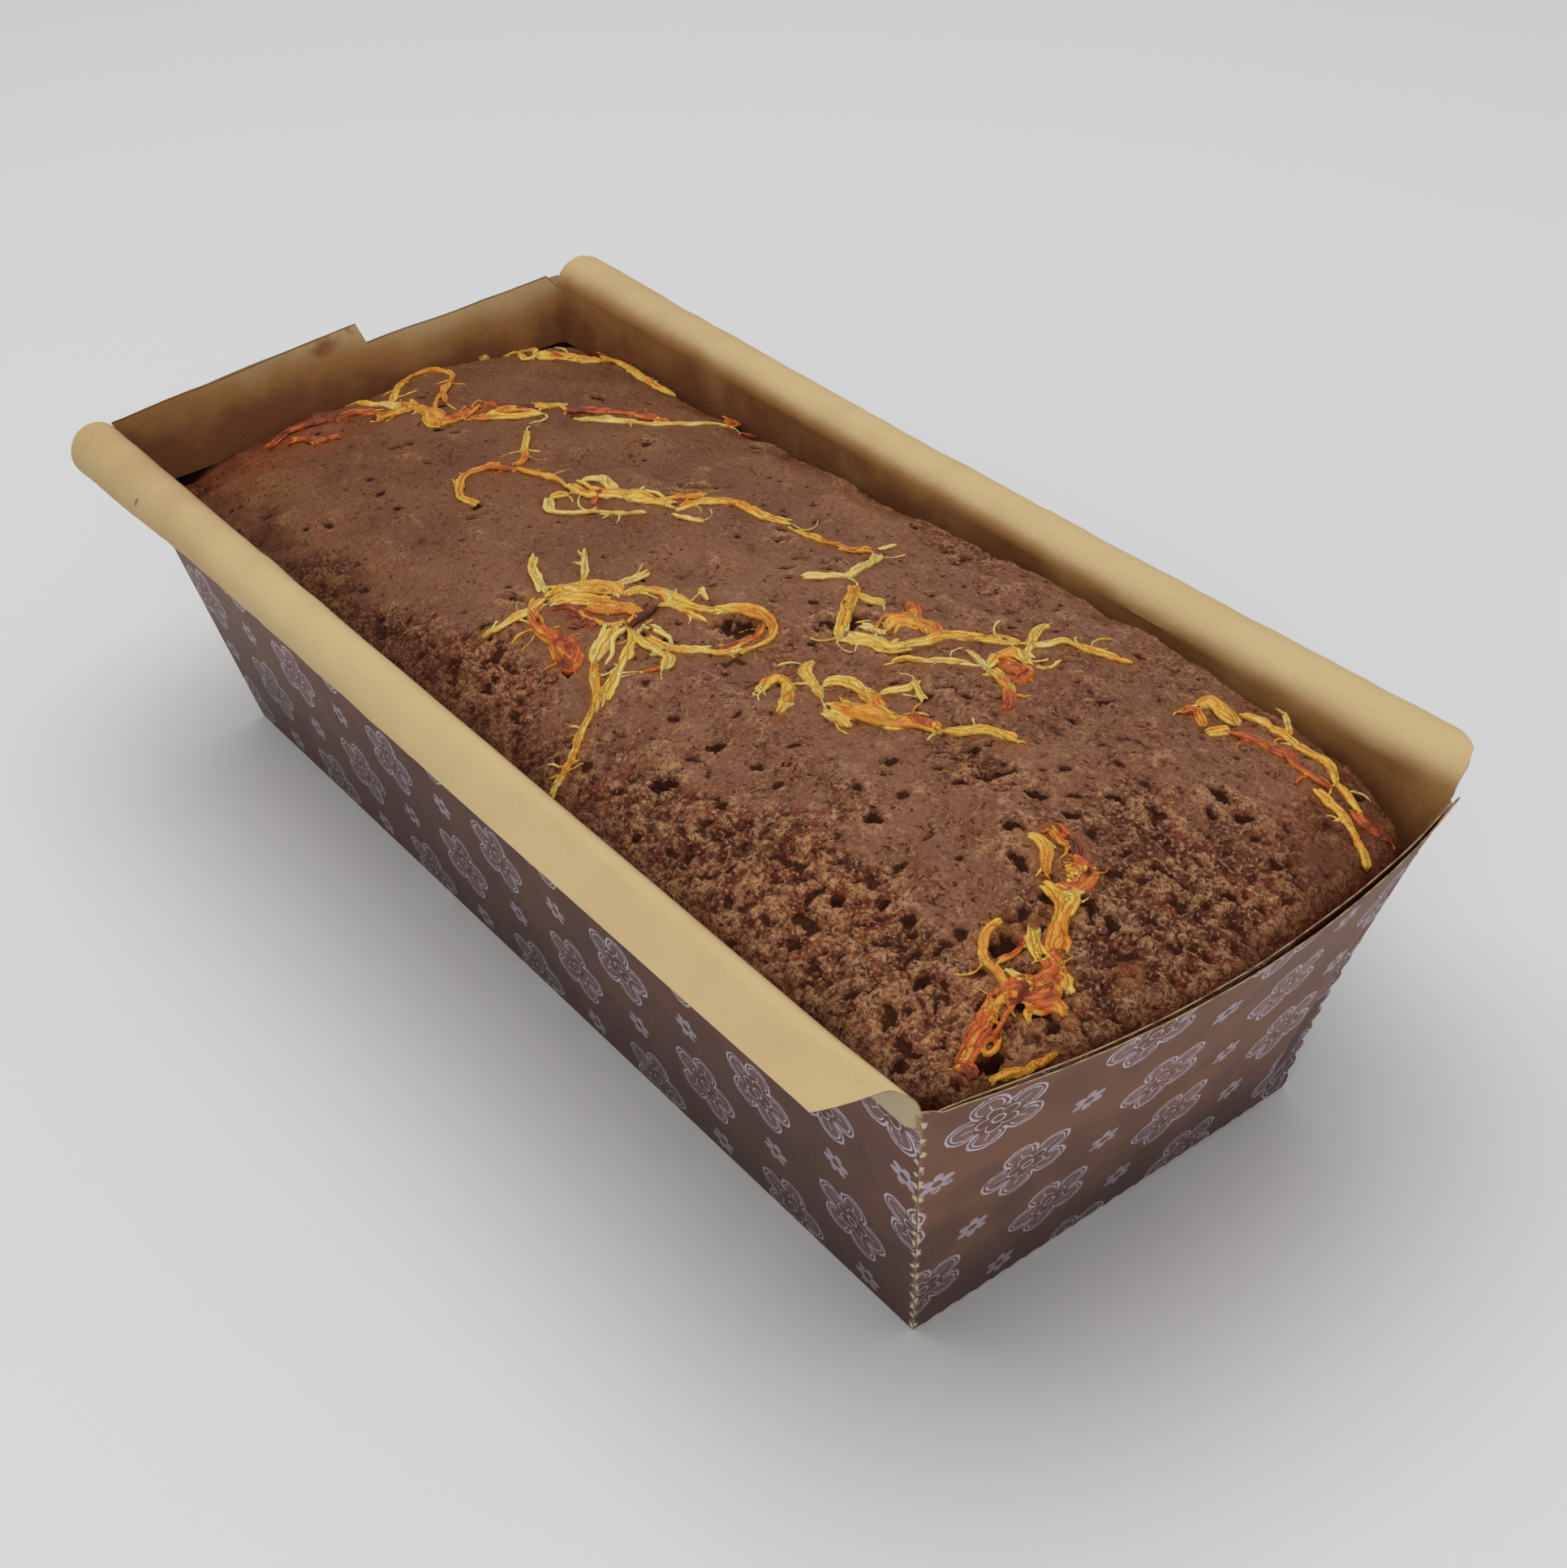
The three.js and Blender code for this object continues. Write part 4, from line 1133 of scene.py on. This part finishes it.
def build_crust(loaf):
    """The crust, and the hidden sides and bottom that follow the walls down from it."""
    crust = crust_grid(loaf)
    mesh = crust.data
    select_open_edges(crust)
    for level in SKIRT_LEVELS:
        extrude((0, 0, 0), 1)
        set_mode("OBJECT")
        picked = np.empty(len(mesh.vertices), bool)
        mesh.vertices.foreach_get("select", picked)
        points = points_of(mesh)
        x, y, z = (points[picked] / MM).T
        old_length, old_width, old_bow = outside(z)
        length, width, bow = outside(np.full(len(z), level))
        span = arch(y, old_width)
        over = np.where(x > 0, old_bow * span, 0)
        new_over = np.where(x > 0, bow * span, 0)
        x = x * (length + new_over) / (old_length + over)
        y = y * width / old_width
        x, y = inside_case(x, y, level + 0 * z)
        points[picked] = np.stack([x, y, np.full(len(x), level)], -1) * MM
        set_points(mesh, points)
        set_mode("EDIT")
    bpy.ops.mesh.edge_face_add()
    bpy.ops.mesh.select_all(action="SELECT")
    bpy.ops.mesh.normals_make_consistent(inside=False)
    set_mode("OBJECT")
    bpy.ops.object.shade_smooth()
    place(crust, [crust_material(loaf)], "cake")


def through(points, step):
    """Points at even steps on a smooth line through the given ones, x and y by turns."""
    p = np.reshape(points, (-1, 2)).astype(float)
    p = np.vstack([2 * p[0] - p[1], p, 2 * p[-1] - p[-2]])
    made = []
    for k in range(1, len(p) - 2):
        count = max(2, int(np.hypot(*(p[k + 1] - p[k])) / step))
        t = np.linspace(0, 1, count, endpoint=False)[:, None]
        a, b, c, d = p[k - 1:k + 3]
        made.append(0.5 * (2 * b + (c - a) * t + (2 * a - 5 * b + 4 * c - d) * t ** 2
                           + (3 * b - a - 3 * c + d) * t ** 3))
    return np.vstack([*made, p[-2:-1]])


def sideways(line):
    """Unit steps to the left of a line in plan."""
    tangent = np.gradient(line, axis=0)
    side = np.stack([-tangent[:, 1], tangent[:, 0]], -1)
    return side / (np.hypot(*side.T)[:, None] + 1e-9)


def add_fibre(curve, line, radius, lift, seed):
    """One fibre that follows the crust, its radius swelling and thinning to its ends."""
    steps = np.arange(len(line)) * FIBRE_STEP
    left = np.minimum(steps, steps[::-1])
    taper = np.sqrt(np.clip(left / (3.0 * radius) + 0.12, 0.0, 1))
    lumps = 1 + 0.32 * noise(steps / 1.9 + seed, steps * 0 + seed)
    lumps = lumps + 0.2 * noise(steps / 0.9, steps * 0 + seed)
    radii = radius * taper * lumps
    x, y = inside_case(*line.T, np.full(len(line), FIBRE_HEIGHT), 0.25 + radius)
    rise = 0.35 * noise(steps / 3.1 + seed, steps * 0 + 5)
    z = crust_base(x, y) + crust_crumb(x, y, FIBRE_RELIEF)[0] + lift + radii * 0.2 + rise * radius
    spline = curve.splines.new("POLY")
    spline.points.add(len(line) - 1)
    flat = np.stack([x * MM, y * MM, z * MM, np.ones(len(x))], -1)
    spline.points.foreach_set("co", flat.ravel())
    spline.points.foreach_set("radius", radii)
    return np.column_stack([x, y, z, sideways(line), steps + seed])


def build_cluster(name, fullness, material):
    """One cluster of shreds, its fibres melted together by a voxel remesh."""
    only(None)
    curve = bpy.data.curves.new(name, "CURVE")
    curve.dimensions = "3D"
    curve.bevel_depth = MM
    curve.bevel_resolution = 2
    curve.use_fill_caps = True
    shreds = bpy.data.objects.new(name, curve)
    bpy.context.collection.objects.link(shreds)
    rng = np.random.default_rng(sum(map(ord, name)))
    samples, browning = [], []
    for width, start, end, *points in SHREDS[name]:
        width *= WIDER.get(name, 1.08)
        line = through(points, FIBRE_STEP)
        t = np.linspace(0, 1, len(line))
        side = sideways(line)
        shade = start + (end - start) * t + BROWNER.get(name, 0)
        if width > 1.2:
            core = CORES.get(name, 0.34) * width * fullness
            samples.append(add_fibre(curve, line, core, -0.15 * width, rng.uniform(0, 90)))
            browning.append(shade)
        count = max(1, round(width / 0.55))
        for k in range(count):
            offset = (k - (count - 1) / 2) * width / max(count, 1.6)
            wander = 0.3 * width * noise(t * len(line) / 8 + rng.uniform(0, 90), t * 0 + k)
            strand = line + side * (offset + wander)[:, None]
            cut = rng.integers(0, max(1, len(line) // 6), 2) if k else (0, 0)
            keep = slice(cut[0], len(line) - cut[1])
            if len(line[keep]) < 3:
                continue
            radius = rng.uniform(0.26, 0.40) * (1 if count > 1 else max(0.8, width)) * fullness
            lift, seed = rng.uniform(-0.08, 0.3), rng.uniform(0, 90)
            samples.append(add_fibre(curve, strand[keep], radius, lift, seed))
            browning.append(shade[keep] + rng.uniform(-0.1, 0.1))
        for _ in range(int(len(line) * FIBRE_STEP / WISP_SPACING * (width > 0.9))):
            k = rng.integers(1, max(2, len(line) - 1))
            turn = rng.choice([-1, 1])
            heading = math.atan2(-side[k, 0], side[k, 1]) + turn * rng.uniform(0.1, 0.55)
            heading += rng.choice([0, math.pi])
            reach = np.linspace(0, rng.uniform(2.0, 6.0), WISP_STEPS)
            bend = heading + reach * rng.uniform(-0.3, 0.3)
            wisp = line[k] + np.stack([reach * np.cos(bend), reach * np.sin(bend)], -1)
            radius, seed = rng.uniform(0.16, 0.24), rng.uniform(0, 90)
            samples.append(add_fibre(curve, wisp, radius, 0.0, seed))
            browning.append(np.full(WISP_STEPS, shade[k] + rng.uniform(-0.2, 0.0)))
    only(shreds)
    bpy.ops.object.convert(target="MESH")
    shreds = bpy.context.object
    apply_modifier(shreds, "REMESH", mode="VOXEL", voxel_size=FIBRE_VOXEL * MM)
    apply_modifier(shreds, "SMOOTH", factor=0.5, iterations=1)
    texture = bpy.data.textures.new(f"{name}_lumps", "CLOUDS")
    texture.noise_scale = 1.1 * MM
    apply_modifier(shreds, "DISPLACE", texture=texture, strength=0.26 * MM, texture_coords="LOCAL")
    samples = np.vstack(samples)
    browning = np.concatenate(browning)
    tree = nearest_of(samples[:, :3])
    points = points_of(shreds.data) / MM
    lift = points[:, 2] - crust_base(*points.T[:2]) - crust_crumb(*points.T[:2], FIBRE_RELIEF)[0]
    nearest = np.array([tree.find(point)[1] for point in points])
    nearby = samples[nearest]
    set_attributes(
        shreds.data, roast=browning[nearest] + 0.06 - 0.16 * (1 - smooth_ramp(lift / 1.0)),
        lane=((points[:, :2] - nearby[:, :2]) * nearby[:, 3:5]).sum(axis=1), along=nearby[:, 5],
    )
    bpy.ops.object.shade_smooth()
    place(shreds, [material], "cake")


def build_shreds(loaf):
    material = shred_material()
    for name in sorted(SHREDS):
        build_cluster(name, loaf.shred_fullness, material)


def add_print_map(mesh, u, v, turn=0.0):
    """A map in millimetres of paper, one place for each corner of each face."""
    layer = mesh.uv_layers.new(name="print")
    c, s = math.cos(math.radians(turn)), math.sin(math.radians(turn))
    layer.data.foreach_set("uv", np.stack([u * c - v * s, u * s + v * c], -1).ravel())


def corners_of(mesh):
    """Vertex and face of each face corner."""
    vertex = np.empty(len(mesh.loops), int)
    mesh.loops.foreach_get("vertex_index", vertex)
    count = np.empty(len(mesh.polygons), int)
    mesh.polygons.foreach_get("loop_total", count)
    return vertex, np.repeat(np.arange(len(count)), count)


def wall_top(a, b):
    """Height of a wall's top edge at a place round the case, each from -1 to 1."""
    y = b * BOX_HALF_WIDTH
    near = along(NEAR_EDGE, y) + 0.12 * noise(y / 6, y * 0)
    far = along(FAR_EDGE, y) + 0.12 * noise(y / 5, y * 0 + 3)
    side = ROLL_AXIS_Z + LEFT_ROLL_RADIUS * 0.04
    return np.where(np.abs(a) > ON_WALL, np.where(a > 0, near, far), side)


def case_box():
    """The case as a straight box: the walls rise in rows, then the rims go out in rows."""
    case = new_grid("paper_case", CASE_COLUMNS, CASE_ROWS)
    select_open_edges(case)
    extrude((0, 0, 1), WALL_ROWS)
    for side in (-1, 1):
        set_mode("OBJECT")
        box = points_of(case.data)
        top = box[:, 2] > WALL_ROWS - 0.5
        select_points(case.data, top & (np.abs(box[:, 1] - side) < 0.01))
        set_mode("EDIT")
        extrude((0, side, 0), ROLL_STEPS)
    set_mode("OBJECT")
    return case


def walls(a, b, t):
    """Base and walls: a and b are shares of the half length and half width, t of the height."""
    step = (np.abs(b * BOX_HALF_WIDTH - STEP_MIDDLE) < STEP_REACH) & (a < -ON_WALL)
    on_side = np.abs(b) > ON_WALL
    b_wall = np.where(step, np.where(b * BOX_HALF_WIDTH < STEP_MIDDLE, *STEP) / BOX_HALF_WIDTH, b)
    z = SHEET + t * (wall_top(a, b_wall) - SHEET)
    length, width, bow = outside(z)
    inset = np.where(on_side, lining(z), SHEET)
    wave = 0.35 * t * noise(a * 9 + 3, b * 4 + t * 2)
    pull = corner_pull(z) * (t > 0) * smooth_ramp((a - 0.9) / 0.1) * smooth_ramp((b - 0.86) / 0.14)
    x = a * (length - SHEET) + (a > ON_WALL) * bow * arch(b, 1) - pull
    x = x - np.where(np.abs(a) > ON_WALL, np.sign(a) * (wave + 0.35 * t) * (1 - b ** 8) * 0.5, 0)
    y = b_wall * (width - inset) - pull
    y = y + np.where(on_side, wave * np.sign(b) * (1 - a ** 8), 0)
    return x, y, z


def rims(a, b, turn):
    """The rolled rims at a turn in degrees, the near part of the left one pressed flat."""
    left = b < 0
    outer = np.where(left, LEFT_ROLL_RADIUS + 0.7 * smooth_ramp((-a - 0.55) / 0.45),
                     RIGHT_ROLL_RADIUS + 0.6 * a ** 2)
    s = np.maximum(0, outer * np.radians(169.5 - turn))
    axis_y = outside(ROLL_AXIS_Z)[1] - PAPER + outer * 0.983
    right_cut = 0.5 * np.maximum(s - 4.5, 0) + 1.1 * np.maximum(s - 8.0, 0)
    near = RIM_X - np.where(left, 0.73 * s, right_cut)
    far = -RIM_X + 0.12 * s
    dent = 0.16 * noise(a * 14 + 5, b * 0.2) + 0.10 * noise(a * 33, b * 0.4)
    radius = outer + dent * smooth_ramp((np.abs(b) - 1) / 5)
    out = axis_y + radius * np.cos(np.radians(turn))
    rise = ROLL_AXIS_Z + radius * np.sin(np.radians(turn))
    share = np.clip((turn - ROLL_END) / (ROLL_START - ROLL_END), 0, 1)
    fold = 2.0 - 1.1 * smooth_ramp((a - 0.86) / 0.14)
    fold_out, fold_rise = PRESS_OUT + fold, PRESS_RISE - fold
    swing = np.radians(54 + (share - BRIM_SHARE) * 330)
    brim = share / BRIM_SHARE
    brim_out = BRIM_OUT - (BRIM_OUT - fold_out - 0.59 * fold) * brim
    brim_rise = BRIM_RISE + (fold_rise + 0.81 * fold - BRIM_RISE) * brim - 0.5 * np.sin(np.pi * brim)
    flat_out = np.where(share > BRIM_SHARE, fold_out + fold * np.cos(swing), brim_out)
    flat_rise = np.where(share > BRIM_SHARE, fold_rise + fold * np.sin(swing), brim_rise)
    pressed = np.where(left, 0.85 * smooth_ramp((a * BOX_HALF_LENGTH + 70) / 120), 0)
    pressed = pressed * (1 - smooth_ramp((share - 0.9) / 0.1))
    return (far + (near - far) * (a + 1) / 2, np.sign(b) * (out + (flat_out - out) * pressed),
            rise + (flat_rise - rise) * pressed)


def map_case(mesh, box, x, y, z):
    """Lays the print on the case: along each wall, up it and on round the rim."""
    vertex, face = corners_of(mesh)
    middle = np.stack([np.bincount(face, weights=box[vertex, k]) for k in range(3)], -1)
    middle /= np.bincount(face)[:, None]
    on_end = (np.abs(middle[:, 0]) > 0.999)[face]
    is_base = (middle[:, 2] < 0.01)[face]
    beyond = np.abs(box[:, 1]) - 1
    arc = np.where(beyond > 0.01, FOLD_HEIGHT + beyond * 0.61, 0)[vertex]
    map_u = np.where(on_end, y[vertex], x[vertex])
    map_u = np.where((middle[:, 1] > ON_WALL)[face], -map_u, map_u)
    map_v = np.where(is_base, y[vertex], np.where(arc > 0, arc, z[vertex] * 1.018))
    add_print_map(mesh, map_u + CASE_PRINT_SHIFT[0], map_v + CASE_PRINT_SHIFT[1])


def build_case(loaf):
    """Base, four walls and both rolled rims, modelled as a straight box and then shaped."""
    case = case_box()
    mesh = case.data
    box = points_of(mesh)
    a, b, row = box.T
    rolled = np.abs(b) > 1.01
    turn = ROLL_START + (ROLL_END - ROLL_START) * (np.abs(b) - 1) / ROLL_STEPS
    wall = walls(a, b, row / WALL_ROWS)
    x, y, z = np.where(rolled, rims(a, b, turn), wall)
    map_case(mesh, box, x, y, z)
    # The paper darkens towards the cake, partly a grease stain and partly painted shade; the rims also
    # darken towards the far end
    inner = 0.14 * smooth_ramp((a - 0.1) / 0.8) + 0.16 * smooth_ramp((-a - 0.6) / 0.35)
    far_end = 0.25 + 0.17 * smooth_ramp((-b - 0.4) / 0.4) - 0.21 * smooth_ramp(b * 2 + 0.3)
    inner = np.where(np.abs(a) > ON_WALL, np.where(a > 0, 0.2, far_end), 0.33 - inner * (b > 0))
    soak = smooth_ramp((66 - np.where(rolled, ROLL_AXIS_Z, z)) / 17 + inner) * 1.25
    far_darkening = np.where(b < 0, 0.24, 0.16) * smooth_ramp((-a * BOX_HALF_LENGTH - 10) / 90)
    soak = np.where(rolled, far_darkening + 0.9 * soak * (1 - smooth_ramp((ROLL_START - turn) / 56)), soak)
    # Painted shade along the far wall's top edge
    toasted = np.where((a < -ON_WALL) & (row > WALL_ROWS - 0.5) & ~rolled, 1.0, 0.0)
    from_corner = (1 - a) * outside(wall[2])[0]
    crease = np.where((b < 0) & ~rolled, np.minimum(from_corner, 9), 9)
    bare = np.where(b < -0.99, 0.5 + (z - 55.9 - 2.4 * (from_corner < 1)) / 8, -1)
    bare = np.where(rolled & (b < 0), 1, bare)
    set_points(mesh, np.stack([x, y, z], -1) * MM)
    set_attributes(mesh, soak=soak, crease=crease, bare=bare, toasted=toasted, height=z / FOLD_HEIGHT)
    face_along(case, lambda p: p.center.z < SHEET * 1.5 * MM, Vector((0, 0, 1)))
    # The long sides take a tint of painted shade
    print_side = printed_material(loaf, "printed_side", SIDE_PAINTED_SHADE, CASE_FOOT_SHADE)
    thicken(case, [kraft_material(loaf), print_side, edge_material()])
    smooth_shaded(case, SMOOTH_ANGLE)
    place(case, [], "case_tray")


def face_along(obj, test, direction):
    """Makes the normals agree, the first face that passes the test along a direction."""
    only(obj)
    set_mode("EDIT")
    bpy.ops.mesh.select_all(action="SELECT")
    bpy.ops.mesh.normals_make_consistent(inside=False)
    set_mode("OBJECT")
    first = next(p for p in obj.data.polygons if test(p))
    if first.normal.dot(direction) < 0:
        set_mode("EDIT")
        bpy.ops.mesh.flip_normals()
        set_mode("OBJECT")


def scallop(distance, pitch, depth):
    """Depth of a pinked edge: rounded teeth with sharp notches, each a little unlike the next."""
    tooth = np.floor(distance / pitch)
    within = np.abs(np.sin(np.pi * distance / pitch)) ** 0.75
    return depth * (1 - within) * (1 + 0.3 * lattice(tooth, tooth * 0 + 2))


def build_flap(name, node, near, loaf):
    """Outer glued layer of an end, with a toothed foot and a toothed edge past its second corner."""
    flap = new_grid(name, FLAP_COLUMNS, FLAP_ROWS)
    mesh = flap.data
    k, t = (points_of(mesh)[:, :2].T + 1) / 2
    width = outside(t * FOLD_HEIGHT)[1]
    past_corner = along(NEAR_PAST_CORNER if near else FAR_PAST_CORNER, t)
    y = -width + (2 * width + past_corner) * k
    head = along(NEAR_TOP if near else FAR_TOP, y) + 0.10 * noise(y / 4, y * 0 + 7)
    foot = FLAP_FOOT + scallop(y + 60, FOOT_TOOTH_PITCH, FOOT_TOOTH_DEPTH)
    z = foot + (head - foot) * t
    length, width, bow = outside(z)
    past_here = past_corner - scallop(z, TOOTH_PITCH, TOOTH_DEPTH) - 0.3 * np.abs(noise(z / 5, z * 0))
    past_here = past_here - 0.2 * np.sin(np.pi * t)
    y = -width + (2 * width) * k + past_here * smooth_ramp((k - 0.9) / 0.1)
    off = 0.1 + (0.1 + 0.5 * np.sin(np.pi * k)) * t ** 2
    bulge = bow * arch(y, width) if near else 0
    x = length + bulge + off + SHEET
    x = x - corner_pull(z) * smooth_ramp((k - 0.86) / 0.14) * near
    x = x + 0.08 * t * (1 - (2 * k - 1) ** 6) * (1 + noise(y / 13 + 2, z / 17))
    vertex, _ = corners_of(mesh)
    map_u, map_v = y[vertex] + FLAP_PRINT_SHIFT[0], (z * 1.03)[vertex] + FLAP_PRINT_SHIFT[1]
    add_print_map(mesh, map_u, map_v, FLAP_PRINT_TURN)
    set_attributes(mesh, crease=np.minimum(k * 95, 9) if near else 9.0, bare=0.0, soak=0.35,
                   toasted=0.0, height=z / FOLD_HEIGHT)
    facing = 1 if near else -1
    set_points(mesh, np.stack([facing * x, facing * y, z], -1) * MM)
    face_along(flap, lambda p: True, Vector((facing, 0, 0)))
    # The ends take a tint of painted light
    print_side = printed_material(loaf, f"{name}_print", END_PAINTED_LIGHT, FLAP_FOOT_SHADE, FLAP_FOOT_SLANT)
    thicken(flap, [print_side, kraft_material(loaf), edge_material()])
    smooth_shaded(flap, SMOOTH_ANGLE)
    place(flap, [], node)


def build_flaps(loaf):
    build_flap("glued_flap_near", "end_flap_near", True, loaf)
    build_flap("glued_flap_far", "end_flap_far", False, loaf)


def add_light(name, place_at, target, size, power):
    """A round soft light that faces its target."""
    only(None)
    bpy.ops.object.light_add(type="AREA", location=place_at)
    light = bpy.context.object
    light.name = name
    light.data.shape = "DISK"
    light.data.size = size
    light.data.energy = power
    light.rotation_euler = (Vector(target) - Vector(place_at)).to_track_quat("-Z", "Y").to_euler()


def add_camera():
    """The camera at the picture's own viewing angle."""
    a, e, r = map(math.radians, (CAMERA_AZIMUTH, CAMERA_ELEVATION, CAMERA_ROLL))
    back = Vector((math.sin(a) * math.cos(e), -math.cos(a) * math.cos(e), math.sin(e)))
    right = Vector((0, 0, 1)).cross(back).normalized()
    up = back.cross(right)
    turned_right = math.cos(r) * right + math.sin(r) * up
    turned_up = math.cos(r) * up - math.sin(r) * right
    by_right, by_up, by_back = CAMERA_PLACE
    spot = (turned_right * by_right + turned_up * by_up + back * by_back) * MM
    axes = Matrix((turned_right, turned_up, back)).transposed().to_4x4()
    only(None)
    bpy.ops.object.camera_add(location=spot)
    camera = bpy.context.object
    camera.matrix_world = Matrix.Translation(spot) @ axes
    camera.data.sensor_width = SENSOR
    camera.data.lens = SENSOR * FOCAL_PIXELS / PICTURE_PIXELS
    camera.data.clip_start = 0.01
    bpy.context.scene.camera = camera


def build_stage(_):
    """A pale floor under soft light, with the camera and the view settings."""
    scene = bpy.context.scene
    only(None)
    bpy.ops.mesh.primitive_plane_add(size=12)
    floor = bpy.context.object
    floor.name = "floor"
    g = Graph("pale_floor")
    g.set(Base_Color=FLOOR_TONE, Roughness=0.9, Specular_IOR_Level=0.1)
    floor.data.materials.append(g.material)
    for name, light in LIGHTS.items():
        add_light(name, *light)
    world = bpy.data.worlds.new("studio")
    world.use_nodes = True
    background = world.node_tree.nodes["Background"]
    background.inputs["Color"].default_value = WORLD_TONE
    background.inputs["Strength"].default_value = WORLD_STRENGTH
    scene.world = world
    scene.view_settings.view_transform = "Standard"
    scene.view_settings.look = "None"
    scene.view_settings.exposure = 0.0
    add_camera()


class Builder:
    """What the operators share: each runs its build function on the scene's settings."""

    def execute(self, context):
        self.build(context.scene.loaf)
        return {"FINISHED"}


class BuildCrust(Builder, bpy.types.Operator):
    """Adds the domed cake with its skin, open crumb and holes"""

    bl_idname = "loaf.build_crust"
    bl_label = "Crust"
    build = staticmethod(build_crust)


class BuildShreds(Builder, bpy.types.Operator):
    """Adds the clusters of golden shreds baked on to the crust"""

    bl_idname = "loaf.build_shreds"
    bl_label = "Shreds"
    build = staticmethod(build_shreds)


class BuildCase(Builder, bpy.types.Operator):
    """Adds the paper case with its rolled rims"""

    bl_idname = "loaf.build_case"
    bl_label = "Paper case"
    build = staticmethod(build_case)


class BuildFlaps(Builder, bpy.types.Operator):
    """Adds the glued outer flaps of the two ends"""

    bl_idname = "loaf.build_flaps"
    bl_label = "End flaps"
    build = staticmethod(build_flaps)


class BuildStage(Builder, bpy.types.Operator):
    """Adds the floor, the lights and the camera"""

    bl_idname = "loaf.build_stage"
    bl_label = "Stage"
    build = staticmethod(build_stage)


OPERATORS = (BuildCrust, BuildShreds, BuildCase, BuildFlaps, BuildStage)


class LoafPanel(bpy.types.Panel):
    """Buttons and settings of the loaf cake"""

    bl_idname = "VIEW3D_PT_loaf_cake"
    bl_label = "Loaf cake"
    bl_space_type = "VIEW_3D"
    bl_region_type = "UI"
    bl_category = "Loaf cake"

    def draw(self, context):
        for operator in OPERATORS:
            self.layout.operator(operator.bl_idname)
        for name in LoafSettings.__annotations__:
            self.layout.prop(context.scene.loaf, name)


CLASSES = (LoafSettings, *OPERATORS, LoafPanel)


def register():
    for item in CLASSES:
        bpy.utils.register_class(item)
    bpy.types.Scene.loaf = bpy.props.PointerProperty(type=LoafSettings)


def unregister():
    del bpy.types.Scene.loaf
    for item in reversed(CLASSES):
        bpy.utils.unregister_class(item)


def main():
    register()
    bpy.ops.loaf.build_crust()
    bpy.ops.loaf.build_shreds()
    bpy.ops.loaf.build_case()
    bpy.ops.loaf.build_flaps()
    bpy.ops.loaf.build_stage()


if __name__ == "__main__":
    main()
